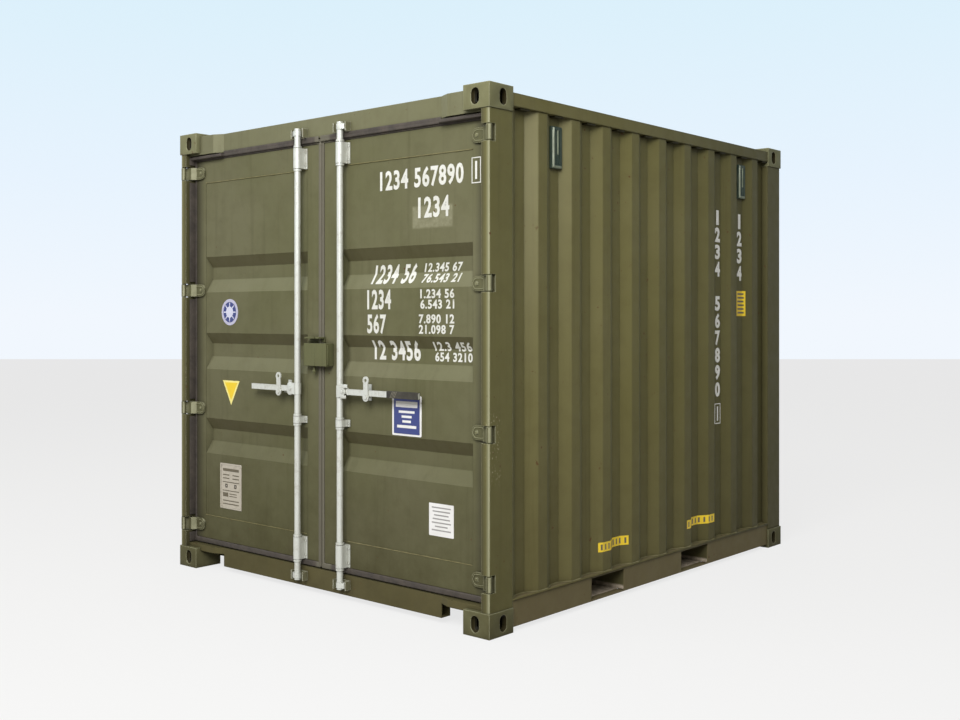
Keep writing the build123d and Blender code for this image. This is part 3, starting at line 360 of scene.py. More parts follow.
# The wall paint carries a painted highlight on slopes facing the doors, and painted shade on low flats and towards
# the far end.
PAINT = steel_paint("wall_paint", tint(105, 100, 60), tint(112, 107, 69), tint(76, 68, 39), 1.0, dirt_and_shade_share=0.6,
                    corners=0.35, bend=0.012, painted_wall_light=True)
RAIL_PAINT = steel_paint("rail_paint", tint(112, 103, 70), tint(118, 109, 77), tint(91, 80, 57), 1.0, dirt_and_shade_share=0.6)
FRAME_PAINT = steel_paint("frame_paint", tint(111, 110, 82), tint(117, 116, 90), tint(84, 80, 58), 0.8,
                          dirt_and_shade_share=0.6, edge=0.4)
CAST_PAINT = steel_paint("casting_paint", tint(106, 105, 72), tint(122, 121, 90), tint(72, 67, 43), 1.0,
                         dirt_and_shade_share=0.95, edge=0.85, edge_wide=0.006)
BLADE_PAINT = steel_paint("blade_paint", tint(88, 87, 60), tint(98, 97, 70), tint(66, 61, 41), 0.8,
                          dirt_and_shade_share=0.8, edge=0.9, edge_wide=0.006)
BOX_PAINT = steel_paint("lock_box_paint", tint(94, 94, 62), tint(100, 101, 70), tint(68, 64, 43), 0.6)
SILL_PAINT = steel_paint("sill_paint", tint(97, 91, 57), tint(104, 97, 65), tint(68, 62, 40), 1.0, dirt_and_shade_share=0.8)
# The post's paint: painted shade on the inner strip of its front face, a painted highlight towards its outer corner,
# and pale edges that are partly painted highlight.
POST_PAINT = steel_paint("post_paint", tint(101, 97, 58), tint(106, 102, 63), tint(76, 70, 42), 1.2, dirt_and_shade_share=0.7,
                         chipped=((1.18, -1.525, 0.70), (1.3, -1.395, 1.06)), edge=0.75, edge_wide=0.006,
                         shade=(1.194, 1.172, 0.6), pale=(1.192, 1.212, 0.6))
# The door paint: painted shadow of the post on each leaf's outer stile, and painted light and shade on the recesses'
# slopes.
DOOR_PAINT = steel_paint("door_paint", tint(98, 97, 68), tint(106, 104, 78), tint(63, 58, 34), 0.5, dirt_and_shade_share=0.95,
                         rubbed=((0.650, -1.5, 1.932), (0.930, -1.4, 2.052)), shade=(1.066, 1.128, 0.85), slopes=True)
# The pockets' pale floor is partly paint rubbed off by forks and partly painted light.
POCKET_PAINT = steel_paint("pocket_paint", tint(84, 80, 50), tint(92, 88, 58), tint(60, 54, 36), 1.0,
                           rubbed=((-1.25, -0.70, -0.05), (1.25, 0.60, 0.056)), rubbed_tone=tint(240, 222, 202))
ZINC = zinc_plate("zinc_steel", tint(217, 218, 210), tint(192, 194, 186))
# Darker than the bars' zinc: painted shade on galvanised keepers; their pale edges are partly worn, partly painted
# highlight.
KEEPER_ZINC_SHADED = zinc_plate("keeper_steel_painted_shade", tint(128, 126, 98), tint(98, 95, 70), 0.25, 0.9)
RUBBER = black_rubber("seal_rubber", tint(62, 57, 53), tint(92, 84, 76), tint(108, 104, 90))
VENT = moulded_plastic("vent_plastic", tint(44, 58, 50), tint(60, 72, 60))
WOOD = plywood("floor_plywood")
GRIP = black_rubber("grip_rubber", tint(44, 42, 38), tint(86, 82, 72))
# Whiter and less worn than the doors' sign paint: painted light, making up for the weaker light on the side wall.
SIDE_MARK = worn_paint("side_mark", tint(253, 253, 249), tint(214, 212, 200), 0.12)
WHITE_MARK = worn_paint("white_sign_paint", tint(226, 226, 220), tint(150, 148, 122), 0.5)
CARD_WHITE = worn_paint("card_white", tint(240, 239, 238), tint(196, 192, 182), 0.1)
CARD_BLUE = worn_paint("card_blue", tint(52, 62, 122), tint(72, 78, 116), 0.1)
CARD_PALE = worn_paint("card_pale_blue", tint(218, 219, 238), tint(170, 174, 198), 0.1)
CARD_LILAC = worn_paint("card_lilac", tint(196, 194, 216), tint(160, 158, 180), 0.3)
CARD_GREY = worn_paint("card_print_grey", tint(150, 148, 146), tint(176, 172, 166), 0.2)
CARD_YELLOW = worn_paint("card_yellow", tint(248, 214, 52), tint(214, 178, 56), 0.15)
CARD_CREAM = worn_paint("card_pale_yellow", tint(252, 240, 150), tint(216, 196, 110), 0.2)
PLATE_STEEL = zinc_plate("plate_steel", tint(196, 188, 172), tint(172, 162, 146), 0.25)
# Near-black paint inside the castings' hollows and dark brown on the bores' walls: painted shade.
HOLE_SHADE_PAINT = worn_paint("casting_hole_painted_shade", tint(26, 24, 14), tint(16, 14, 8), 0.4, 0.06)
BORE_SHADE_PAINT = worn_paint("casting_bore_painted_shade", tint(50, 45, 27), tint(36, 32, 19), 0.4, 0.1)
HOLE_DARK = worn_paint("plate_hole_dark", tint(62, 56, 44), tint(96, 88, 70), 0.2)
PLATE_DARK = worn_paint("plate_print", tint(92, 84, 66), tint(132, 122, 100), 0.3)
# Dark paint on the recess caps: painted shadow under the top rail.
SHADOW_CAP_PAINT = steel_paint("cap_painted_shadow", tint(52, 49, 30), tint(60, 57, 36), tint(44, 40, 26), 0.4)
# Paler than the door paint: painted highlight along the beads' tops, and at the wall's foot partly pale sealant.
BEAD_PAINT = steel_paint("bead_paint", tint(118, 113, 76), tint(130, 124, 90), tint(84, 76, 50), 0.6, dirt_and_shade_share=0.4)
# The vents' pale rib is a painted highlight; the short rib's paler plastic is a weaker painted highlight.
VENT_RIB_HIGHLIGHT = moulded_plastic("vent_rib_painted_highlight", tint(188, 196, 176), tint(160, 168, 148))
VENT_MID = moulded_plastic("vent_mid_plastic", tint(132, 140, 120), tint(108, 116, 98))
TAPE = worn_paint("grip_tape", tint(140, 134, 116), tint(96, 92, 80), 0.3)

FINISH_OF_SLOT = {
    "olive_paint": PAINT, "door_paint": DOOR_PAINT, "zinc": ZINC, "rubber": RUBBER,
    "vent_plastic": VENT, "floor_wood": WOOD, "grip_rubber": GRIP,
}
FINISH_BY_ENDING = {
    "door_header": FRAME_PAINT, "blind_top_rail": FRAME_PAINT, "_bottom_rail": RAIL_PAINT, "door_sill": SILL_PAINT,
    "_door_post": POST_PAINT, "_hinge_blades": BLADE_PAINT, "_lock_box": BOX_PAINT, "fork_pockets": POCKET_PAINT,
    "cam_keepers": KEEPER_ZINC_SHADED,
}
for row in frame["record"]["subparts"]:
    thing = nodes[row["node"]]
    finish = FINISH_OF_SLOT[row["material_slot"]]
    for ending, own in FINISH_BY_ENDING.items():
        if row["node"].endswith(ending):
            finish = own
    if not thing.material_slots:
        thing.data.materials.append(finish)
    for place in thing.material_slots:
        place.material = finish


# Floor, light and camera

CAMERA_PLACE = Vector((4.600, -5.5335, 1.5014))
CAMERA_TURN = math.radians(41.54)


def backdrop_world():
    """Soft light all round; what the camera sees is the pale sky behind the container."""
    world = bpy.data.worlds.new("studio")
    bpy.context.scene.world = world
    world.use_nodes = True
    world.node_tree.nodes.clear()
    w = Wiring(world.node_tree)
    glow = w.node("ShaderNodeBackground", Color=(1.0, 0.96, 0.86, 1), Strength=0.22)
    way = w.node("ShaderNodeTexCoord").outputs["Generated"]
    fade = w.node("ShaderNodeValToRGB", Fac=w.node("ShaderNodeSeparateXYZ", Vector=way).outputs["Z"])
    marks = fade.color_ramp.elements
    marks[0].position, marks[0].color = 0.0, tint(241, 247, 254)
    marks[1].position, marks[1].color = 0.27, tint(219, 240, 251)
    marks.new(0.12).color = tint(231, 243, 254)
    sky = w.node("ShaderNodeBackground", Color=fade.outputs[0])
    w.node("ShaderNodeOutputWorld", Surface=w.either(w.looked_at(), glow.outputs[0], sky.outputs[0]))


def softbox(name, place, aim, width, height, watts):
    bpy.ops.object.light_add(type="AREA", location=place)
    lamp = bpy.context.object
    lamp.name = name
    lamp.data.shape = "RECTANGLE"
    lamp.data.size, lamp.data.size_y = width, height
    lamp.data.energy = watts
    lamp.rotation_euler = (Vector(aim) - Vector(place)).to_track_quat("-Z", "Y").to_euler()


def studio_floor():
    """A pale paper floor to a straight far edge; it looks white but throws little light up."""
    bpy.ops.mesh.primitive_plane_add(size=1)
    floor = bpy.context.object
    floor.name = "studio_floor"
    floor.rotation_euler = (0, 0, CAMERA_TURN)
    long, far_edge = 89.4, 39.7
    floor.scale = (160, long, 1)
    forward = Vector((-math.sin(CAMERA_TURN), math.cos(CAMERA_TURN), 0))
    floor.location = Vector((CAMERA_PLACE.x, CAMERA_PLACE.y, -0.002)) + forward * (far_edge - long / 2)
    f = Finish("floor_paper")
    away = f.node("ShaderNodeVectorMath")
    away.operation = "LENGTH"
    f.put(away.inputs[0], f.node("ShaderNodeNewGeometry").outputs["Position"])
    far = f.spread(away.outputs["Value"], 3.0, 30.0)
    seen = f.mix(far, tint(237, 237, 237), tint(238, 238, 239))
    both = f.node("ShaderNodeAddShader")
    f.put(both.inputs[0], f.node("ShaderNodeEmission", Color=seen, Strength=0.90).outputs[0])
    f.put(both.inputs[1], f.node("ShaderNodeBsdfDiffuse", Color=tint(103, 103, 102)).outputs[0])
    dull = f.node("ShaderNodeBsdfDiffuse", Color=tint(140, 138, 132)).outputs[0]
    f.put(f.tree.nodes["Material Output"].inputs["Surface"], f.either(f.looked_at(), dull, both.outputs[0]))
    floor.data.materials.append(f.mat)


def photo_camera():
    bpy.ops.object.camera_add(location=CAMERA_PLACE, rotation=(math.radians(90), 0, CAMERA_TURN))
    cam = bpy.context.object
    cam.name = "camera"
    cam.data.lens = 42.68
    cam.data.sensor_width = 36
    cam.data.shift_x = 0.0234
    cam.data.shift_y = -0.0458
    bpy.context.scene.camera = cam


bpy.ops.object.select_all(action="DESELECT")
photo_camera()
backdrop_world()
studio_floor()
softbox("key", (4.4, -8.2, 6.6), (0.6, -0.8, 1.2), 6.5, 5.0, 1120)
softbox("fill", (-4.5, -7.5, 6.0), (-0.5, -1.5, 1.6), 4, 3, 110)
softbox("top", (0, 0.5, 8.0), (0, 0, 0), 7, 7, 80)
bpy.context.scene.view_settings.view_transform = "Standard"


# Working by hand: picking, shaping, placing

def pick(*things):
    bpy.ops.object.select_all(action="DESELECT")
    for thing in things:
        thing.select_set(True)
    bpy.context.view_layer.objects.active = things[0]


def edit(thing):
    pick(thing)
    bpy.ops.object.mode_set(mode="EDIT")
    bpy.ops.mesh.select_all(action="SELECT")


def leave_edit():
    bpy.ops.object.mode_set(mode="OBJECT")


def settle(thing):
    """Puts a piece's place, turn and size into its mesh."""
    pick(thing)
    bpy.ops.object.transform_apply(location=True, rotation=True, scale=True)


def soften(thing, width, segments=2, angle=40):
    pick(thing)
    bevel = thing.modifiers.new("edges", "BEVEL")
    bevel.width, bevel.segments = width, segments
    bevel.limit_method, bevel.angle_limit = "ANGLE", math.radians(angle)
    bpy.ops.object.modifier_apply(modifier=bevel.name)


def begin(add, **how):
    """A new primitive, with nothing else selected."""
    bpy.ops.object.select_all(action="DESELECT")
    add(**how)
    return bpy.context.object


def rod(vertices, radius, depth, **how):
    """A cylinder to start a piece from."""
    made = begin(bpy.ops.mesh.primitive_cylinder_add, vertices=vertices, radius=radius, depth=depth, **how)
    settle(made)
    return made


def join(things):
    pick(*things)
    if len(things) > 1:
        bpy.ops.object.join()
    return bpy.context.view_layer.objects.active


def move(thing, x=0.0, y=0.0, z=0.0):
    thing.location = (x, y, z)
    settle(thing)
    return thing


def turn(thing, letter, degrees):
    """Turns a piece about its own X, Y or Z, and then puts its place in its mesh."""
    thing.rotation_euler["XYZ".index(letter)] = math.radians(degrees)
    settle(thing)
    return thing


def outwards(thing):
    """Turns every face of a piece to the outside."""
    edit(thing)
    bpy.ops.mesh.normals_make_consistent(inside=False)
    leave_edit()


def for_side(thing, hand):
    """A piece made for the right side, mirrored where it is wanted on the left."""
    if hand < 0:
        thing.scale = (-1, 1, 1)
        settle(thing)
        outwards(thing)
    return thing


def hand_over(thing, name, body, finish, smooth=35, instead_of=()):
    """Last step of every piece: place in the mesh, finish on, and the body it rides on."""
    settle(thing)
    thing.name = name
    thing.data.name = name
    thing.data.materials.clear()
    thing.data.materials.append(finish)
    if smooth:
        bpy.ops.object.shade_smooth_by_angle(angle=math.radians(smooth))
    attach(thing, body)
    if instead_of:
        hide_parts(*instead_of)


def copy_of(master):
    """A copy of a piece, with its own mesh."""
    new = master.copy()
    new.data = master.data.copy()
    bpy.context.collection.objects.link(new)
    return new


def copies(master, places):
    """Copies of one piece at these places, joined; the piece itself goes."""
    made = [copy_of(master) for _ in places]
    bpy.data.objects.remove(master)
    for new, place in zip(made, places):
        move(new, *place)
    return join(made)


def corners_of(thing):
    """The lowest and the highest corner of a piece."""
    spots = [v.co for v in thing.data.vertices]
    return [min(s[i] for s in spots) for i in range(3)], [max(s[i] for s in spots) for i in range(3)]


def sized(thing, width, height):
    """Centres a piece that faces the front and stretches it to this width and height, below 0 upside down."""
    low, high = corners_of(thing)
    for v in thing.data.vertices:
        v.co.x = (v.co.x - (low[0] + high[0]) / 2) * width / (high[0] - low[0])
        v.co.z = (v.co.z - (low[2] + high[2]) / 2) * height / (high[2] - low[2])


def upright_sheet(width, height, middle=(0, 0, 0)):
    """A flat sheet that faces the front, open for editing."""
    made = begin(bpy.ops.mesh.primitive_plane_add, size=1, location=middle, rotation=(math.radians(90), 0, 0))
    made.scale = (width, height, 1)
    settle(made)
    edit(made)
    return made


def opened(line):
    """Cuts the middle out of a flat sheet that is open for editing, and leaves a rim as wide as line."""
    bpy.ops.mesh.inset(thickness=line, depth=0)
    bpy.ops.mesh.delete(type="FACE")
    leave_edit()


def thickened(thing, y):
    """Gives a flat sheet its thickness along Y."""
    edit(thing)
    bpy.ops.mesh.extrude_region_move(TRANSFORM_OT_translate={"value": (0, y, 0)})
    leave_edit()
    outwards(thing)


def slab(low, high, round_by=0.0, segments=2):
    """A block between two corners, with its edges rounded."""
    size = [b - a for a, b in zip(low, high)]
    middle = [(a + b) / 2 for a, b in zip(low, high)]
    made = begin(bpy.ops.mesh.primitive_cube_add, size=1, location=middle)
    made.scale = size
    settle(made)
    if round_by:
        soften(made, round_by, segments)
    return made


# Shapes of the painted surfaces

def ramp(value, low, high):
    return min(1.0, max(0.0, (value - low) / (high - low)))


def panel_depth(x, z):
    """How far the door panel lies behind its face at this point."""
    x = abs(x)
    if x > PANEL_EDGE:
        return DOOR_FACE_Y - PANEL_Y
    ends = min(ramp(x, *RECESS_ENDS[:2]), ramp(-x, -RECESS_ENDS[3], -RECESS_ENDS[2]))
    deep = 0.0
    for top, inner_top, inner_low, low in RECESSES:
        deep = max(deep, min(ends, ramp(-z, -top, -inner_top), ramp(z, low, inner_low)))
    return deep * RECESS_DEEP


def wall_depth(y):
    """How far the side wall lies behind its outer flats at this point."""
    near = min(abs(y - (WAVE_FIRST + i * WAVE_STEP)) for i in range(WAVES))
    return ramp(-near, -WAVE_EDGE, -WAVE_FLAT) * WAVE_DEEP


PANEL_FOLDS = [z for r in RECESSES for z in r]
WALL_FOLDS = [WAVE_FIRST + i * WAVE_STEP + k
              for i in range(WAVES) for k in (-WAVE_EDGE, -WAVE_FLAT, WAVE_FLAT, WAVE_EDGE)]


def cut_at(thing, axis, values):
    """Cuts a flat piece along the folds of what it is painted on."""
    low, high = corners_of(thing)
    normal = Vector([float(i == axis) for i in range(3)])
    for value in values:
        if low[axis] < value < high[axis]:
            edit(thing)
            bpy.ops.mesh.bisect(plane_co=normal * value, plane_no=normal)
            leave_edit()


def onto_door(thing):
    """Lays a piece made in front of the door, with its seat at y 0, on the pressed panel."""
    cut_at(thing, 2, PANEL_FOLDS)
    cut_at(thing, 0, (-PANEL_EDGE, -RECESS_ENDS[2], RECESS_ENDS[2], PANEL_EDGE))
    for v in thing.data.vertices:
        v.co.y += PANEL_Y + panel_depth(v.co.x, v.co.z)


def onto_side(thing):
    """Lays a piece made in front of the doors, with its seat at y 0, on the right wall's corrugation."""
    turn(thing, "Z", 90)
    cut_at(thing, 1, WALL_FOLDS)
    for v in thing.data.vertices:
        v.co.x += WALL_X - wall_depth(v.co.y)


# Markings: plain figures only

def figures(text, width, height, slant=0.0, heavy=0.0):
    """Stencilled figures standing up in front of the doors, centred, their seat at y 0."""
    made = begin(bpy.ops.object.text_add, location=(0, 0, 0))
    made.data.body = text
    made.data.shear = slant
    made.data.offset = heavy
    made.data.space_character = 1.12
    made.data.extrude = 0.01
    made.data.resolution_u = 3
    bpy.ops.object.convert(target="MESH")
    made = turn(bpy.context.object, "X", 90)
    sized(made, width, height)
    thick, sunk = 0.0005, 0.0001
    for v in made.data.vertices:
        v.co.y = -thick if v.co.y < 0 else sunk
    return made


def outline(width, height, line, thick, corner=0.0):
    """A raised outline, square or with round corners, standing in front of the doors, its seat at y 0."""
    made = upright_sheet(width, height)
    if corner:
        bpy.ops.mesh.bevel(affect="VERTICES", offset=corner, segments=6)
        bpy.ops.mesh.select_all(action="SELECT")
    opened(line)
    thickened(made, -thick)
    return made


def door_numbers():
    """Rows of figures high on the right door, in the places and sizes of the real rows."""
    rows = [  # figures, x, z, width, height, slant
        ("1234 567890", 0.711, 2.1915, 0.570, 0.103, 0.0), ("1234", 0.7995, 2.0395, 0.209, 0.105, 0.0),
        ("1234 56", 0.500, 1.716, 0.310, 0.102, 0.25), ("12.345 67", 0.8335, 1.743, 0.257, 0.046, 0.2),
        ("76.543 21", 0.8335, 1.689, 0.257, 0.046, 0.2),
        ("1234", 0.418, 1.586, 0.174, 0.102, 0.0), ("1.234 56", 0.823, 1.612, 0.226, 0.046, 0.0),
        ("6.543 21", 0.823, 1.560, 0.226, 0.046, 0.0),
        ("567", 0.400, 1.461, 0.138, 0.102, 0.0), ("7.890 12", 0.818, 1.487, 0.236, 0.046, 0.0),
        ("21.098 7", 0.818, 1.435, 0.236, 0.046, 0.0),
        ("12 3456", 0.515, 1.3265, 0.330, 0.103, 0.0), ("12.3 456", 0.9005, 1.352, 0.245, 0.046, 0.0),
        ("654 3210", 0.9005, 1.300, 0.245, 0.046, 0.0),
        ("1", 1.077, 2.196, 0.012, 0.086, 0.0),
    ]
    made = [move(figures(t, w, h, slant, 0.030), x=x, z=z) for t, x, z, w, h, slant in rows]
    made.append(move(outline(0.059, 0.124, 0.0045, 0.0006), x=1.077, z=2.196))
    whole = join(made)
    onto_door(whole)
    hand_over(whole, "door_numbers", "right_door", WHITE_MARK, smooth=0)


def side_numbers():
    """Figures one under another in two recesses of the right side wall."""
    made = []
    first, second = 0.732, 1.010

    def column(text, y, top, bottom):
        step = (top - bottom) / len(text)
        for i, figure in enumerate(text):
            if figure != " ":
                one = figures(figure, 0.030 if figure == "1" else 0.060, step * 0.86, 0.0, 0.045)
                made.append(move(one, x=y, z=top - (i + 0.5) * step))

    column("1234 567890", first, 2.156, 1.000)
    column("1234", second, 2.150, 1.716)
    made.append(move(figures("1", 0.014, 0.088, 0.0, 0.02), x=first, z=0.905))
    made.append(move(outline(0.070, 0.124, 0.005, 0.0006), x=first, z=0.905))
    whole = join(made)
    onto_side(whole)
    hand_over(whole, "side_numbers", "container", SIDE_MARK, smooth=0)


def card(width, height, thick, corner):
    """A thin plate standing in front of the doors, its seat at y 0, corners cut round."""
    made = slab((-width / 2, -thick, -height / 2), (width / 2, 0, height / 2))
    edit(made)
    bpy.ops.mesh.select_all(action="DESELECT")
    leave_edit()
    for edge in made.data.edges:
        a, b = (made.data.vertices[i].co for i in edge.vertices)
        edge.select = abs(a.x - b.x) < 1e-6 and abs(a.z - b.z) < 1e-6
    bpy.ops.object.mode_set(mode="EDIT")
    bpy.ops.mesh.select_mode(type="EDGE")
    bpy.ops.mesh.bevel(offset=corner, segments=4)
    leave_edit()
    return made


def bars(rows, thick=0.0004, at=0.0):
    """Plain printed bars: rows are (x, z, width, height)."""
    made = [slab((x - w / 2, at - thick, z - h / 2), (x + w / 2, at, z + h / 2)) for x, z, w, h in rows]
    return join(made)


def glue_on(thing, name, hand, finish, place, smooth=0):
    """Puts a flat piece on a door's panel: place is x, how far out it sits, and z."""
    move(thing, x=place[0], y=PANEL_Y - place[1], z=place[2])
    hand_over(thing, name, f"{SIDE[hand]}_door", finish, smooth)


def blue_card():
    """The card glued under the right handle's end: blue, white edge, plain light bars."""
    x, z = 0.617, 0.999
    back, face = 0.0016, 0.0006
    glue_on(card(0.204, 0.204, back, 0.008), "blue_card_edge", 1, CARD_WHITE, (x, 0.0, z + 0.001))
    glue_on(card(0.180, 0.182, face, 0.004), "blue_card_face", 1, CARD_BLUE, (x, back, z))
    lines = bars([(0.0, 0.058, 0.150, 0.030), (0.0, 0.020, 0.110, 0.012), (0.0, -0.004, 0.070, 0.012),
                  (0.0, -0.028, 0.060, 0.012), (0.0, -0.054, 0.134, 0.014)])
    glue_on(lines, "blue_card_bars", 1, CARD_WHITE, (x, back + face, z))


def white_card():
    """A white card low on the right door with lines of grey print left as plain bars."""
    x, z, thick, pitch = 0.8515, 0.502, 0.0010, 0.0185
    glue_on(card(0.163, 0.160, thick, 0.004), "white_card", 1, CARD_WHITE, (x, 0.0, z))
    rows = [(0.0, 0.060 - i * pitch, 0.126 - 0.03 * (i % 3 == 2) - 0.012 * (i % 2), 0.0065) for i in range(7)]
    glue_on(bars(rows, 0.0003), "white_card_print", 1, CARD_GREY, (x, thick, z))


def round_disc():
    """The round plate on the left door: pale rim, blue field, plain pale spokes and a round in the middle."""
    x, z = -0.827, 1.524
    rim, sheet = 0.0014, 0.0005
    for name, radius, thick, out, finish in (("rim", 0.0775, rim, 0.0, CARD_LILAC),
                                             ("field", 0.0600, sheet, rim, CARD_BLUE),
                                             ("middle", 0.0330, sheet, rim + sheet, CARD_PALE)):
        made = rod(48, radius, thick, rotation=(math.radians(90), 0, 0), location=(0, -thick / 2, 0))
        soften(made, 0.0004, 1)
        glue_on(made, f"round_plate_{name}", -1, finish, (x, out, z), smooth=30)
    spokes = [turn(slab((-0.056, -0.0004, -0.0035), (0.056, 0, 0.0035)), "Y", way) for way in range(0, 180, 45)]
    glue_on(join(spokes), "round_plate_spokes", -1, CARD_PALE, (x, rim + sheet, z))


def triangle(wide, tall, thick):
    """A flat triangle, point down, standing in front of the doors."""
    made = turn(rod(3, 0.09, thick), "X", 90)
    sized(made, wide, -tall)
    outwards(made)
    soften(made, thick * 0.4, 1)
    return made


def yellow_triangle():
    """A plain yellow triangle with a paler edge, on the left door's lower band."""
    x, back, face = -0.814, 0.0010, 0.0006
    glue_on(triangle(0.158, 0.143, back), "yellow_triangle_edge", -1, CARD_CREAM, (x, back / 2, 1.0515))
    glue_on(triangle(0.118, 0.104, face), "yellow_triangle", -1, CARD_YELLOW, (x, back + face / 2, 1.0600))


def data_plate():
    """The steel data plate low on the left door: raised border, plain raised bars, four rivets, two dark holes."""
    x, z, thick = -0.8165, 0.5015, 0.0010
    glue_on(card(0.201, 0.267, thick, 0.006), "data_plate", -1, PLATE_STEEL, (x, 0.0, z))
    border = ring((-0.1000, -0.1330, 0.1000, 0.1330), (-0.0920, -0.1250, 0.0920, 0.1250), -0.0022, 0.0, 0.0007)
    glue_on(border, "data_plate_border", -1, PLATE_STEEL, (x, thick - 0.0001, z), 35)
    rivets = copies(dome_bolt(0.0030, 0.0022), [(i * 0.086, 0.0, k * 0.118) for i in (-1, 1) for k in (-1, 1)])
    glue_on(rivets, "data_plate_rivets", -1, PLATE_STEEL, (x, thick, z), 35)
    rows = [(0.0, 0.096, 0.150, 0.016), (-0.045, 0.066, 0.060, 0.006), (0.045, 0.066, 0.060, 0.006),
            (-0.045, 0.046, 0.060, 0.006), (0.045, 0.046, 0.060, 0.006), (0.0, 0.024, 0.156, 0.005),
            (0.0, -0.026, 0.156, 0.005), (-0.050, -0.050, 0.050, 0.024),
            (0.020, -0.044, 0.070, 0.005), (0.020, -0.058, 0.070, 0.005), (0.0, -0.085, 0.150, 0.006),
            (0.0, -0.104, 0.150, 0.006)]
    glue_on(bars(rows, 0.0005), "data_plate_bars", -1, PLATE_DARK, (x, thick, z))
    eye = ring((-0.0110, -0.0110, 0.0110, 0.0110), (-0.0040, -0.0040, 0.0040, 0.0040), -0.0006, 0.0, 0.0002)
    eyes = copies(eye, [(i * 0.042, 0.0, 0.002) for i in (-1, 1)])
    glue_on(eyes, "data_plate_eyes", -1, HOLE_DARK, (x, thick, z), 35)


def side_patches():
    """Yellow strips glued over the corrugation of the right wall, with plain dark bars."""
    thick = 0.0008
    for name, start, low, end, high in (("high", 0.972, 1.501, 1.068, 1.659), ("near", -0.580, 0.262, -0.296, 0.312),
                                        ("far", 0.307, 0.262, 0.626, 0.312)):
        strip = slab((start, -thick, low), (end, 0, high))
        onto_side(strip)
        hand_over(strip, f"yellow_mark_{name}", "container", CARD_YELLOW, smooth=0)
    rows = [(1.020 + (i % 2) * 0.002, 1.640 - i * 0.0235, 0.070, 0.011) for i in range(6)]
    rows += [(-0.562 + i * 0.031, 0.287, 0.010, 0.030) for i in range(9)]
    rows += [(0.327 + i * 0.034, 0.287, 0.011, 0.030) for i in range(9)]
    lines = bars(rows, at=-thick)
    onto_side(lines)
    hand_over(lines, "yellow_mark_bars", "container", PLATE_DARK, smooth=0)


# Seals, bolts and beads

def ring(outer, inner, front_y, back_y, round_by):
    """A rounded rubber or steel ring standing in front of the doors: outer and inner are (x0, z0, x1, z1)."""
    x0, z0, x1, z1 = outer
    a0, c0, a1, c1 = inner
    made = upright_sheet(x1 - x0, z1 - z0, ((x0 + x1) / 2, back_y, (z0 + z1) / 2))
    opened(0.003)
    for v in made.data.vertices:
        if x0 + 0.001 < v.co.x < x1 - 0.001:
            v.co.x = a0 if v.co.x < (x0 + x1) / 2 else a1
            v.co.z = c0 if v.co.z < (z0 + z1) / 2 else c1
    thickened(made, front_y - back_y)
    soften(made, round_by, 3)
    return made


def seal_lips(hand):
    """The round bulb of each leaf's seal, its flap on the header, and its thin lip along the post."""
    edge, outer = (0.004, -0.017) if hand > 0 else (0.044, 0.027)
    foot, top, post = 0.1430, 2.4570, 1.1590
    front, back = FRONT_Y + 0.0550, FRONT_Y + 0.0745
    bulb = ring((outer + 0.0005, foot, post, top), (edge - 0.0030, foot + 0.0295, post - 0.0125, top - 0.0255),
                FRONT_Y + 0.0670, FRONT_Y + 0.0755, 0.0055)
    flap = slab((outer + 0.0020, front, top - 0.0040), (0.8640, front + 0.0046, top + 0.0145), 0.0018)
    web = slab((outer + 0.0020, front, top - 0.0170), (0.8680, back, top + 0.0005), 0.0040, 3)
    end = slab((0.8660, FRONT_Y + 0.0350, top - 0.0180), (post, back, top + 0.0005), 0.0045, 3)
    gap = 0.052  # from a hinge's middle to where the lip stops
    runs = [foot + 0.0005] + [z + k * gap for z in HINGE_HEIGHTS for k in (-1, 1)] + [top - 0.0005]
    lips = [slab((post - 0.0022, FRONT_Y + 0.028, low), (post + 0.0028, back, high), 0.0016)
            for low, high in zip(runs[::2], runs[1::2])]
    if hand > 0:
        lips.append(slab((-0.0272, FRONT_Y + 0.0600, 0.1500), (-0.0130, FRONT_Y + 0.0720, 2.4500), 0.0035, 3))
    whole = for_side(join([bulb, flap, web, end] + lips), hand)
    hand_over(whole, f"{SIDE[hand]}_seal_lips", f"{SIDE[hand]}_door", RUBBER, smooth=50)


